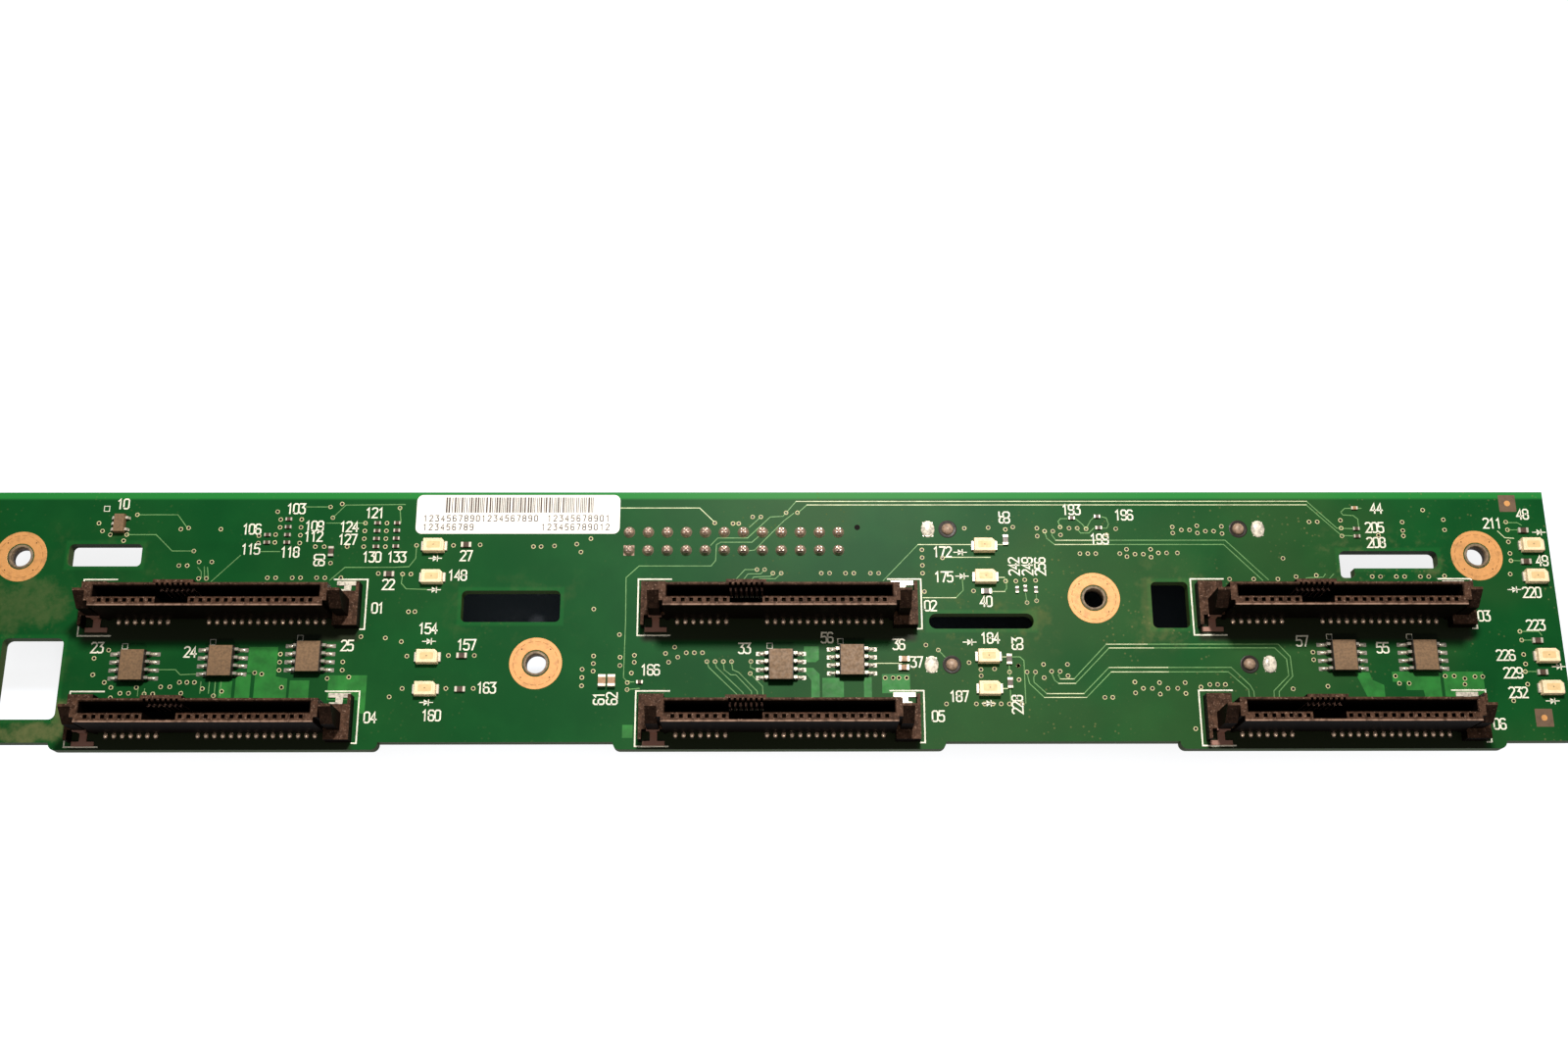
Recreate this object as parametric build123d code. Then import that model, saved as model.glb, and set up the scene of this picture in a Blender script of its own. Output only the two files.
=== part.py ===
from build123d import *
from math import cos, pi, sin
import os

# A drive backplane board: a long green circuit board that carries six vertical
# drive sockets in three columns and two rows, with status lights, power switches
# and small parts between them. A power header and two signal sockets stand on
# its back, and the board rests on those three.
#
# Millimetres. X runs along the board, Y towards its top edge and Z towards the
# drives. Z is 0 under the rear connectors and the origin is at the middle of
# the board's outline. Places on the board are given from the middle column's
# centre line and from the line of the upper sockets' solder tails, for a board
# of the layout's length, and they spread along X with the board's own length.

os.makedirs("parts", exist_ok=True)

# Board
board_length = 252.4
layout_length = 252.4
board_height = 40.15
board_thickness = 2.0
tab_drop = 1.15
tab_corner = 1.05
tab_reach = 25.4
tab_outer_reach = 24.5
rear_height = 9.9
middle_column_x = 4.45
bay_pitch = 86.55
row_pitch = 17.83
upper_row_inset = 21.33


def along(x):
    """Place along the board, which moves out and in with the board's length."""
    return x * board_length / layout_length


middle_x = along(middle_column_x)
bay_x = [along((column - 1) * bay_pitch) for column in range(3)]
column_x = [middle_x + x for x in bay_x]
board_top_y = (board_height + tab_drop) / 2
board_main_y = board_top_y - board_height
board_low_y = board_main_y - tab_drop
upper_row_y = board_top_y - upper_row_inset
board_back_z = rear_height
board_front_z = rear_height + board_thickness

# Mounting screw holes: bore radius, and places from the middle column and upper row
screw_hole_radius = 1.6
screw_places = [(-119.0, 10.7), (-37.6, -6.55), (49.2, 3.85), (110.1, 10.75)]

# Air openings: low and high X, low and high Y, corner radius
corner_slot = (-111.5, -100.1, 9.1, 12.75, 0.75)
left_window = (-120.0, -110.55, -15.25, -2.5, 1.0)
middle_window = (-49.55, -34.15, 0.03, 5.1, 0.8)
long_slot = (23.3, 39.6, -1.1, 1.35, 1.15)
right_window = (58.2, 64.0, -1.0, 6.45, 0.8)
stepped_slot = (88.3, 103.8, 8.65, 11.5, 0.9)
stepped_slot_leg = (88.3, 90.5, 7.1, 10.0, 0.6)
openings = [corner_slot, left_window, middle_window, long_slot, right_window, stepped_slot]

# Drive sockets, seen from the front, with Y from the tail row
contact_pitch = 1.27
signal_count = 7
power_count = 15
signal_power_gap = 6.35
face_height = 9.0
wall_low_y = 0.3
wall_step_y = 1.05
wall_high_y = 3.9
slot_low_y = 1.72
slot_high_y = 3.45
slot_half = 17.1
slot_floor = 1.6
slot_lead_in = 0.3
lower_wall_end = 0.6
end_wall = 1.15
tail_tunnel_height = 1.05
tail_tunnel_depth = 1.2
window_size = 0.5
window_low_y = 0.88
channel_open_low = 1.6
channel_open_high = 8.2
bump_x = -5.05
bump_width = 6.1
bump_rise = 0.45
notch_width = 5.0
notch_low_y = 0.65
second_pitch = 0.8
second_count = 7
second_width = 0.42
second_depth = 0.4
post_reach = 1.85
post_low_y = 0.45
post_high_y = 3.05
post_tip_flat = 0.4
post_tip_slope = 2.4
flange_reach = 21.45
flange_height = 2.3
flange_low_y = -1.0
flange_high_y = 6.0
flange_notch_width = 3.5
flange_notch_depth = 1.55
flange_rim = 0.5

signal_span = (signal_count - 1) * contact_pitch
power_span = (power_count - 1) * contact_pitch
contact_half_span = (signal_span + signal_power_gap + power_span) / 2
slot_end_x = slot_half + end_wall
first_power_x = -contact_half_span + signal_span + signal_power_gap
contact_x = [-contact_half_span + n * contact_pitch for n in range(signal_count)]
contact_x += [first_power_x + n * contact_pitch for n in range(power_count)]
second_x = [bump_x + (n - (second_count - 1) / 2) * second_pitch for n in range(second_count)]

# Socket contacts
contact_thickness = 0.2
contact_width = 0.3
contact_setback = 0.15
tail_reach = 0.45
spring_knee_z = 6.0
spring_tip_z = 7.4
spring_bulge = 0.75
second_tail_reach = 0.6
second_tip_z = 6.4
second_bulge = 0.55
second_setback = 0.1

# Solder nails that hold the sockets down
nail_thickness = 0.25
nail_foot_inset = 0.1
nail_foot_width = 3.4
nail_foot_length = 0.7
nail_stem_width = 1.1
nail_bar_width = 2.0
nail_bar_height = 0.5

# Status lights, in four rows beside each column
light_offset_x = 32.3
light_rows = [12.33, 7.2, -5.6, -10.65]
light_length = 3.3
light_width = 2.15
light_height = 1.25
light_corner = 0.45
light_foot_length = 0.55
light_foot_width = 2.0
light_foot_height = 0.7

# Power switches: eight-lead chips, places of their centres
switch_places = [(-99.3, -7.0), (-85.8, -6.35), (-72.4, -5.7), (0.25, -7.0),
                 (11.2, -6.3), (87.2, -5.65), (99.7, -5.65)]
switch_width = 3.9
switch_length = 4.9
switch_height = 1.5
switch_standoff = 0.12
switch_draft = 7
lead_pitch = 1.27
lead_width = 0.42
lead_thickness = 0.2
lead_reach = 1.05
lead_foot = 0.5

# Small logic chip
logic_place = (-103.9, 16.0)
logic_width = 1.7
logic_length = 3.0
logic_height = 1.1
logic_pitch = 0.95
logic_reach = 0.6
logic_foot = 0.25

# Resistors and capacitors: length along the terminals, width and height
small_chip = (1.0, 0.5, 0.35)
large_chip = (1.6, 0.8, 0.45)
tall_capacitor = (1.8, 1.15, 0.9)
terminal_share = 0.22
pull_up_columns = [(-80.6, [14.2, 12.95]), (-77.45, [16.8, 15.5, 14.2, 12.95]),
                   (-63.4, [16.15, 14.85, 13.55, 12.25]), (-60.3, [16.15, 14.9, 13.6, 12.3])]
small_across = [(-21.5, -9.55), (46.35, 16.95), (50.4, 17.2), (50.55, 15.3), (91.4, 15.15),
                (91.4, 13.9)]
small_upright = [(37.2, 5.15), (38.5, 5.35), (40.15, 5.15)]
large_across = [(-61.05, 7.75), (-49.25, 12.55), (-49.0, -5.35), (-49.0, -10.65), (32.4, 4.9),
                (117.85, 14.85), (117.65, 9.7), (117.75, -3.1), (117.85, -8.15)]
large_upright = [(-70.4, 11.45), (35.7, 13.3), (35.5, -6.0), (35.5, -9.75)]
capacitors_upright = [(-27.25, -9.4), (-25.8, -9.4)]
lock_capacitors = [(4.205, -5.95), (4.305, -7.3)]
small_capacitors_across = [(91.45, 18.6)]

# Power header on the back
header_pins = 12
header_pitch = 3.0
header_first_x = -23.66
header_top_row_y = 14.65
header_end = 3.3
header_width = 9.2
header_wall = 1.0
header_floor = 2.2
header_latch_width = 5.0
header_latch_reach = 0.9
header_latch_height = 3.4
header_latch_start = 1.02
header_peg_radius = 0.45
header_peg_offset = (3.0, 0.8)
pin_size = 0.64
pin_hole_radius = 0.5
pin_hole_sides = 8
pin_recess = 2.9
pin_rise = 0.75
solder_radius = 0.78
solder_rise = 0.7
solder_tip_radius = 0.5

# Signal sockets on the back
signal_rows_y = [15.15, -6.82]
signal_centre_x = 49.67
signal_contacts = 32
signal_pitch = 1.27
signal_body_width = 7.4
signal_slot_width = 2.2
signal_slot_depth = 6.2
signal_slot_end = 3.0
signal_key = 1.2
signal_key_x = 10.9
signal_ear_end = 1.535
signal_ear_width = 4.2
signal_ear_height = 3.4
signal_lock_span = 52.33
signal_lock_setback = 1.365
signal_lock_slot = (1.6, 2.3)
signal_lock_plate = (1.0, 1.7)
signal_peg_setback = 3.13
signal_peg_radii = (1.3, 1.05)
signal_tail_reach = 1.0
signal_tail_height = 0.9
signal_tail_foot = 0.5
signal_tail_width = 0.4
lock_solder_radii = (1.0, 1.4)
lock_solder_sides = 12
lock_solder_rise = 0.25
lock_solder_slope = 30

signal_body_length = signal_lock_span - 2 * signal_lock_setback
signal_ear_length = signal_lock_setback + signal_ear_end
signal_peg_span = signal_lock_span - 2 * signal_peg_setback

# Label
label_place = (-57.4, 14.4)
label_size = (32.2, 6.45)
label_corner = 1.0
label_thickness = 0.1


def at_board(x, y, z=board_front_z):
    """Place on the board, from the middle column and the upper tail row."""
    return Pos(middle_x + x, upper_row_y + y, z)


def slab(low_x, high_x, low_y, high_y, low_z, high_z):
    """Box between two corners."""
    size = (high_x - low_x, high_y - low_y, high_z - low_z)
    centre = ((low_x + high_x) / 2, (low_y + high_y) / 2, (low_z + high_z) / 2)
    return Pos(*centre) * Box(*size)


def strip(points, width):
    """Sheet strip: an outline in Y and Z carried along X, centred on X 0."""
    outline = Plane.YZ * make_face(Polyline(*points, close=True))
    return Pos(-width / 2, 0, 0) * extrude(outline, width, dir=(1, 0, 0))


def rounded_opening(low_x, high_x, low_y, high_y, radius):
    """Cutter for one opening, with rounded corners."""
    low_x, high_x = along(low_x), along(high_x)
    outline = RectangleRounded(high_x - low_x, high_y - low_y, radius)
    place = at_board((low_x + high_x) / 2, (low_y + high_y) / 2, board_back_z)
    return place * extrude(outline, board_thickness)


def oval(radii, sides):
    """Oval outline with flat sides, which small soldered places share."""
    turns = [2 * pi * (n + 0.5) / sides for n in range(sides)]
    corners = [(radii[0] * cos(turn), radii[1] * sin(turn)) for turn in turns]
    return make_face(Polyline(*corners, close=True))


def turned(part, quarter):
    """The part turned a quarter about Z, or left as it is."""
    return Rot(0, 0, 90) * part if quarter else part


def signal_sockets():
    """Signal socket centres on the board."""
    return [(along(signal_centre_x), y) for y in signal_rows_y]


def make_board():
    """Board blank with its lower tabs, openings, screw holes and drilled holes."""
    main_height = board_top_y - board_main_y
    blank = Pos(0, board_main_y + main_height / 2) * Rectangle(board_length, main_height)
    tab_height = tab_drop + tab_corner
    for column, x in enumerate(column_x):
        left = tab_outer_reach if column == 0 else tab_reach
        right = tab_outer_reach if column == 2 else tab_reach
        tab = Pos((right - left) / 2, 0) * Rectangle(left + right, tab_height)
        tab = fillet(tab.vertices().group_by(Axis.Y)[0], tab_corner)
        blank += Pos(x, board_low_y + tab_height / 2) * tab
    board = Pos(0, 0, board_back_z) * extrude(blank, board_thickness)
    for opening in openings:
        board -= rounded_opening(*opening)
    board -= rounded_opening(*stepped_slot_leg)
    drill_z = board_back_z + board_thickness / 2
    pin_hole = extrude(oval((pin_hole_radius, pin_hole_radius), pin_hole_sides), board_thickness)
    board -= [at_board(x, y, board_back_z) * pin_hole for x, y in header_pin_places()]
    holes = [(along(x), y, screw_hole_radius) for x, y in screw_places]
    holes += [(x, y, header_peg_radius) for x, y in header_peg_places()]
    for x, y in signal_sockets():
        for side, radius in zip((-1, 1), signal_peg_radii):
            holes.append((x + side * signal_peg_span / 2, y, radius))
            lock = Box(*signal_lock_slot, board_thickness)
            board -= at_board(x + side * signal_lock_span / 2, y, drill_z) * lock
    for x, y, radius in holes:
        board -= at_board(x, y, drill_z) * Cylinder(radius, board_thickness)
    return board


def make_drive_socket():
    """Socket housing: slotted body, contact windows, guide posts and end flanges."""
    lower_half = slot_end_x - lower_wall_end
    body = slab(-slot_end_x, slot_end_x, wall_step_y, wall_high_y, 0, face_height)
    body += slab(-lower_half, lower_half, wall_low_y, wall_step_y, 0, face_height)
    bump_left = bump_x - bump_width / 2
    bump_right = bump_x + bump_width / 2
    bump_high_y = wall_high_y + bump_rise
    body += slab(bump_left, bump_right, slot_high_y, bump_high_y, 0, face_height)
    for side in (-1, 1):
        body += make_socket_end(side)
    slot = slab(-slot_half, slot_half, slot_low_y, slot_high_y, slot_floor, face_height)
    mouth = Rectangle(2 * slot_half, slot_high_y - slot_low_y)
    mouth_place = Pos(0, (slot_low_y + slot_high_y) / 2, face_height - slot_lead_in / 2)
    body -= slot + mouth_place * extrude(mouth, slot_lead_in / 2, taper=-45)
    notch_half = notch_width / 2
    body -= slab(bump_x - notch_half, bump_x + notch_half, notch_low_y, slot_low_y,
                 slot_floor, face_height)
    tunnel_high_y = wall_low_y + tail_tunnel_depth
    body -= slab(-slot_half, slot_half, wall_low_y, tunnel_high_y, 0, tail_tunnel_height)
    body -= slab(bump_left, bump_right, slot_high_y, bump_high_y, 0, tail_tunnel_height)
    half_window = window_size / 2
    channels = []
    for x in contact_x:
        left = x - half_window
        right = x + half_window
        channels.append(slab(left, right, window_low_y, window_low_y + window_size,
                             tail_tunnel_height, face_height))
        channels.append(slab(left, right, window_low_y, slot_low_y,
                             channel_open_low, channel_open_high))
    for x in second_x:
        channels.append(slab(x - second_width / 2, x + second_width / 2, slot_high_y,
                             slot_high_y + second_depth, tail_tunnel_height, face_height))
    return body - channels


def make_socket_end(side):
    """One end of the housing: guide post with a sloped tip, and a low flange."""
    post = strip([(post_low_y, 0), (post_high_y, 0), (post_high_y, face_height),
                  (post_high_y - post_tip_flat, face_height),
                  (post_low_y, face_height - post_tip_slope)], post_reach)
    end = Pos(side * (slot_end_x + post_reach / 2), 0, 0) * post
    inner = slot_end_x - lower_wall_end
    low_x, high_x = sorted((side * inner, side * flange_reach))
    flange = slab(low_x, high_x, flange_low_y, flange_high_y, 0, flange_height)
    notch_outer = flange_reach - flange_rim
    notch_x = sorted((side * notch_outer, side * (notch_outer - flange_notch_width)))
    if side > 0:
        notch_y = (flange_high_y - flange_notch_depth, flange_high_y)
    else:
        notch_y = (flange_low_y, flange_low_y + flange_notch_depth)
    return end + flange - slab(*notch_x, *notch_y, 0, flange_height)


def make_drive_contacts():
    """Main contacts: solder tail, riser in the window's channel and sprung tip."""
    inner_y = window_low_y + window_size - contact_setback
    outer_y = inner_y - contact_thickness
    profile = [(-tail_reach, 0), (inner_y, 0), (inner_y, spring_knee_z),
               (inner_y + spring_bulge, spring_tip_z),
               (inner_y + spring_bulge - contact_thickness, spring_tip_z + contact_thickness / 2),
               (outer_y, spring_knee_z + contact_thickness), (outer_y, contact_thickness),
               (-tail_reach, contact_thickness)]
    contact = strip(profile, contact_width)
    return [Pos(x, 0, 0) * contact for x in contact_x]


def make_second_contacts():
    """Second-port contacts in the bump, with tails on the socket's upper side."""
    outer_y = slot_high_y + second_depth - second_setback
    inner_y = outer_y - contact_thickness
    tail_y = wall_high_y + bump_rise + second_tail_reach
    profile = [(inner_y, 0), (tail_y, 0), (tail_y, contact_thickness),
               (outer_y, contact_thickness), (outer_y, second_tip_z),
               (inner_y - second_bulge, second_tip_z + second_bulge), (inner_y, second_tip_z)]
    contact = strip(profile, contact_width)
    return [Pos(x, 0, 0) * contact for x in second_x]


def make_hold_downs():
    """Two solder nails, one at each end of a socket, turned about its middle."""
    wall_y = flange_high_y - flange_notch_depth
    foot_y = flange_high_y - nail_foot_inset
    foot_x = flange_reach - flange_rim - flange_notch_width / 2
    thick = nail_thickness
    half_foot = nail_foot_width / 2
    half_stem = nail_stem_width / 2
    half_bar = nail_bar_width / 2
    nail = slab(foot_x - half_foot, foot_x + half_foot, foot_y, foot_y + nail_foot_length, 0, thick)
    nail += slab(foot_x - half_stem, foot_x + half_stem, wall_y, foot_y, 0, thick)
    nail += slab(foot_x - half_stem, foot_x + half_stem, wall_y, wall_y + thick, 0, flange_height)
    nail += slab(foot_x - half_bar, foot_x + half_bar, wall_y, wall_y + thick,
                 flange_height - nail_bar_height, flange_height)
    middle_y = (flange_low_y + flange_high_y) / 2
    return [nail, Pos(0, middle_y) * Rot(0, 0, 180) * Pos(0, -middle_y) * nail]


def make_gull_lead(reach, height, foot, width):
    """Gull-wing lead that leaves the body towards +X and lands on the board."""
    thick = lead_thickness
    points = [(0, height), (0, height - thick), (reach - foot - thick, height - thick),
              (reach - foot, 0), (reach, 0), (reach, thick), (reach - foot + thick, thick),
              (reach - foot, height)]
    outline = Plane.XZ * make_face(Polyline(*points, close=True))
    return Pos(0, width / 2, 0) * extrude(outline, width, dir=(0, -1, 0))


def make_chip_body(width, length, height, standoff):
    """Moulded body whose four sides lean in above and below the lead line."""
    middle = standoff + (height - standoff) / 2
    half = (height - standoff) / 2
    upper = extrude(Rectangle(width, length), half, taper=switch_draft)
    lower = Rot(180, 0, 0) * upper
    return Pos(0, 0, middle) * (upper + lower)


def make_leads(places_left, places_right, half_width, height, reach, foot, width):
    """Leads on both sides of a chip at the given places along Y."""
    lead = make_gull_lead(reach, height, foot, width)
    leads = [Pos(half_width, y, 0) * lead for y in places_right]
    mirrored = Rot(0, 0, 180) * lead
    leads += [Pos(-half_width, y, 0) * mirrored for y in places_left]
    return leads


def make_light():
    """Status light: moulded body with one corner cut to mark its polarity."""
    body = Pos(0, 0, light_height / 2) * Box(light_length, light_width, light_height)
    corner = body.edges().filter_by(Axis.Z).sort_by(Axis.X)[-2:].sort_by(Axis.Y)[-1]
    return chamfer(corner, light_corner)


def make_light_feet():
    """Soldered end terminals of one status light."""
    inner = light_length / 2
    outer = inner + light_foot_length
    half = light_foot_width / 2
    right = strip([(-half, 0), (half, 0), (half, light_foot_height), (-half, light_foot_height)],
                  outer - inner)
    place = inner + light_foot_length / 2
    return [Pos(place, 0, 0) * right, Pos(-place, 0, 0) * right]


def make_chip(size):
    """Resistor or capacitor as its middle body and its two end terminals."""
    length, width, height = size
    cap = length * terminal_share
    middle = Pos(0, 0, height / 2) * Box(length - 2 * cap, width, height)
    end = Box(cap, width, height)
    ends = [Pos(side * (length - cap) / 2, 0, height / 2) * end for side in (-1, 1)]
    return middle, ends


def chip_places():
    """Every resistor and capacitor as kind, size, place and whether it stands upright."""
    chips = []
    for x, rows in pull_up_columns:
        chips += [("resistor", small_chip, (x, y), False) for y in rows]
    chips += [("resistor", small_chip, place, False) for place in small_across]
    chips += [("resistor", small_chip, place, True) for place in small_upright]
    chips += [("resistor", large_chip, place, False) for place in large_across]
    chips += [("resistor", large_chip, place, True) for place in large_upright]
    chips += [("capacitor", tall_capacitor, place, True) for place in capacitors_upright]
    chips += [("capacitor", small_chip, place, False) for place in small_capacitors_across]
    chips = [(kind, size, (along(x), y), upright) for kind, size, (x, y), upright in chips]
    lock_x = along(signal_centre_x) - signal_lock_span / 2
    for gap, y in lock_capacitors:
        chips.append(("capacitor", large_chip, (lock_x - gap, y), False))
    return chips


def header_pin_places():
    """Power header pins, in two rows."""
    rows = (header_top_row_y, header_top_row_y - header_pitch)
    first_x = along(header_first_x)
    return [(first_x + n * header_pitch, y) for y in rows for n in range(header_pins)]


def header_peg_places():
    """Locating pegs just past both ends of the header's top row."""
    offset_x, offset_y = header_peg_offset
    first_x = along(header_first_x)
    last_x = first_x + (header_pins - 1) * header_pitch
    peg_y = header_top_row_y + offset_y
    return [(first_x - offset_x, peg_y), (last_x + offset_x, peg_y)]


def make_power_header():
    """Open shroud below the board with a latch ramp and two locating pegs."""
    length = (header_pins - 1) * header_pitch + 2 * header_end
    centre_x = along(header_first_x) + (header_pins - 1) * header_pitch / 2
    centre_y = header_top_row_y - header_pitch / 2
    shroud = Box(length, header_width, rear_height)
    inside_depth = rear_height - header_floor
    inside = Box(length - 2 * header_wall, header_width - 2 * header_wall, inside_depth)
    shroud -= Pos(0, 0, -header_floor / 2) * inside
    ramp = strip([(0, 0), (header_latch_reach, header_latch_start),
                  (header_latch_reach, header_latch_height), (0, header_latch_height)],
                 header_latch_width)
    shroud += Pos(0, header_width / 2, -header_latch_height / 2) * ramp
    header = at_board(centre_x, centre_y, rear_height / 2) * shroud
    for x, y in header_peg_places():
        peg_height = board_thickness
        header += at_board(x, y, board_back_z + peg_height / 2) * Cylinder(header_peg_radius,
                                                                          peg_height)
    for x, y in header_pin_places():
        hole = Box(pin_size, pin_size, header_floor)
        header -= at_board(x, y, board_back_z - header_floor / 2) * hole
    return header


def make_header_pins():
    """Square pins with the solder that fills their holes and cones up around them."""
    pin_height = board_front_z + pin_rise + solder_rise / 2 - pin_recess
    pin = Pos(0, 0, pin_recess + pin_height / 2) * Box(pin_size, pin_size, pin_height)
    hole = oval((pin_hole_radius, pin_hole_radius), pin_hole_sides)
    foot = Pos(0, 0, board_front_z) * oval((solder_radius, solder_radius), pin_hole_sides)
    tip_z = board_front_z + solder_rise
    tip = Pos(0, 0, tip_z) * oval((solder_tip_radius, solder_tip_radius), pin_hole_sides)
    joint = pin + Pos(0, 0, board_back_z) * extrude(hole, board_thickness) + loft([foot, tip])
    return [at_board(x, y, 0) * joint for x, y in header_pin_places()]


def make_signal_socket(y):
    """Signal socket on the back: keyed card slot, end ears and locating pegs."""
    body = Box(signal_body_length, signal_body_width, rear_height)
    slot_length = signal_body_length - 2 * signal_slot_end
    slot = Box(slot_length, signal_slot_width, signal_slot_depth)
    body -= Pos(0, 0, (signal_slot_depth - rear_height) / 2) * slot
    key = Box(signal_key, signal_slot_width, signal_slot_depth)
    body += Pos(signal_key_x, 0, (signal_slot_depth - rear_height) / 2) * key
    ear_z = (rear_height - signal_ear_height) / 2
    for side, radius in zip((-1, 1), signal_peg_radii):
        ear = Box(signal_ear_length, signal_ear_width, signal_ear_height)
        ear_x = side * (signal_body_length + signal_ear_length) / 2
        body += Pos(ear_x, 0, ear_z) * ear
        plate_x = side * signal_lock_span / 2
        body -= Pos(plate_x, 0, ear_z) * Box(*signal_lock_plate, signal_ear_height)
        peg_z = (rear_height + board_thickness) / 2
        body += Pos(side * signal_peg_span / 2, 0, peg_z) * Cylinder(radius, board_thickness)
    return at_board(along(signal_centre_x), y, rear_height / 2) * body


def make_signal_contacts(y):
    """Gull-wing solder tails of one signal socket, along its lower side."""
    lead = make_gull_lead(signal_tail_reach, signal_tail_height, signal_tail_foot,
                          signal_tail_width)
    hung = Rot(0, 180, 0) * Rot(0, 0, -90) * lead
    span = (signal_contacts - 1) * signal_pitch
    side_y = y - signal_body_width / 2
    tails = []
    for n in range(signal_contacts):
        x = along(signal_centre_x) - span / 2 + n * signal_pitch
        tails.append(at_board(x, side_y, board_back_z) * hung)
    return tails


def make_signal_locks():
    """Board locks through the ears and the board, soldered flush on the front."""
    plate = Box(*signal_lock_plate, signal_ear_height)
    solder = Box(*signal_lock_slot, board_thickness)
    mound = extrude(oval(lock_solder_radii, lock_solder_sides), lock_solder_rise,
                    taper=lock_solder_slope)
    dome = Pos(0, 0, board_thickness / 2) * mound
    locks = []
    for x, y in signal_sockets():
        for side in (-1, 1):
            lock_x = x + side * signal_lock_span / 2
            lock = at_board(lock_x, y, board_back_z - signal_ear_height / 2) * plate
            middle_z = board_back_z + board_thickness / 2
            lock += at_board(lock_x, y, middle_z) * (solder + dome)
            locks.append(lock)
    return locks


def make_label():
    """Paper label with rounded corners."""
    width, height = label_size
    x, y = label_place
    outline = RectangleRounded(width, height, label_corner)
    return at_board(along(x) + width / 2, y + height / 2) * extrude(outline, label_thickness)


def write(name, shapes):
    """Write one node, from one solid or a list of separate solids."""
    solids = shapes if isinstance(shapes, list) else [shapes]
    node = Compound(children=[solid for shape in solids for solid in shape.solids()])
    export_step(node, f"parts/{name}.step")


write("board", make_board())

housing = make_drive_socket()
main_contacts = make_drive_contacts()
second_contacts = make_second_contacts()
nails = make_hold_downs()
socket_places = [(column, row) for row in range(2) for column in range(3)]
for number, (column, row) in enumerate(socket_places, start=1):
    place = at_board(bay_x[column], -row * row_pitch)
    write(f"drive_socket_{number}", place * housing)
    write(f"drive_contacts_{number}", [place * contact for contact in main_contacts])
    write(f"second_port_contacts_{number}", [place * contact for contact in second_contacts])
    write(f"hold_downs_{number}", [place * nail for nail in nails])

light = make_light()
light_feet = make_light_feet()
light_places = [(column, y) for y in light_rows for column in range(3)]
all_feet = []
for number, (column, y) in enumerate(light_places, start=1):
    place = at_board(bay_x[column] + along(light_offset_x), y)
    write(f"status_light_{number}", place * light)
    all_feet += [place * foot for foot in light_feet]
write("status_light_terminals", all_feet)

switch_body = make_chip_body(switch_width, switch_length, switch_height, switch_standoff)
switch_rows = [(n - 1.5) * lead_pitch for n in range(4)]
switch_lead_height = switch_standoff + (switch_height - switch_standoff) / 2 + lead_thickness / 2
switch_leads = make_leads(switch_rows, switch_rows, switch_width / 2, switch_lead_height,
                          lead_reach, lead_foot, lead_width)
all_switch_leads = []
for number, (x, y) in enumerate(switch_places, start=1):
    place = at_board(along(x), y)
    write(f"power_switch_{number}", place * switch_body)
    all_switch_leads += [place * lead for lead in switch_leads]
write("power_switch_leads", all_switch_leads)

logic_rows = [-logic_pitch, 0, logic_pitch]
logic_lead_height = logic_height / 2 + lead_thickness / 2
logic_leads = make_leads(logic_rows, logic_rows[::2], logic_width / 2, logic_lead_height,
                         logic_reach, logic_foot, lead_width)
logic_x, logic_y = logic_place
logic_at = at_board(along(logic_x), logic_y)
write("logic_chip", logic_at * make_chip_body(logic_width, logic_length, logic_height, 0))
write("logic_chip_leads", [logic_at * lead for lead in logic_leads])

chip_nodes = {"resistor": ([], []), "capacitor": ([], [])}
for kind, size, (x, y), upright in chip_places():
    middle, ends = make_chip(size)
    bodies, terminals = chip_nodes[kind]
    place = at_board(x, y)
    bodies.append(place * turned(middle, upright))
    terminals += [place * turned(end, upright) for end in ends]
for kind, (bodies, terminals) in chip_nodes.items():
    write(f"{kind}_bodies", bodies)
    write(f"{kind}_terminals", terminals)

write("power_header", make_power_header())
write("power_header_pins", make_header_pins())
for name, y in zip(("upper", "lower"), signal_rows_y):
    write(f"signal_socket_{name}", make_signal_socket(y))
    write(f"signal_contacts_{name}", make_signal_contacts(y))
write("signal_socket_locks", make_signal_locks())
write("label", make_label())
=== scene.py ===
from functools import reduce
from math import radians

import bpy
import numpy as np
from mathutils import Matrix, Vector


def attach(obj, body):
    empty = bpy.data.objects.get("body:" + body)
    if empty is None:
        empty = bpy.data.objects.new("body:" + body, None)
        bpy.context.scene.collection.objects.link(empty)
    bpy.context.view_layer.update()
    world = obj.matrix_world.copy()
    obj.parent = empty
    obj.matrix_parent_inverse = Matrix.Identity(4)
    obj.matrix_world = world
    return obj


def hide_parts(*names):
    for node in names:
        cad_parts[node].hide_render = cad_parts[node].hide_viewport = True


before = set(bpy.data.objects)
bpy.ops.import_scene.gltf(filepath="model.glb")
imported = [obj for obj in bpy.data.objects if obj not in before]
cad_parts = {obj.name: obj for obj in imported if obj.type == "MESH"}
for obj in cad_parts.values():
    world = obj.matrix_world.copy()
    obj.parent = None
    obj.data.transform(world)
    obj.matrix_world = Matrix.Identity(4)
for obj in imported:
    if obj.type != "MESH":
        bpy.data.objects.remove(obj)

bl_info = {
    "name": "Drive backplane board",
    "version": (1, 0, 0),
    "blender": (4, 5, 0),
    "location": "3D View > Sidebar > Backplane",
    "description": "Finishes for a drive backplane board: copper, print, solder and plastics",
    "category": "Object",
}

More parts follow.
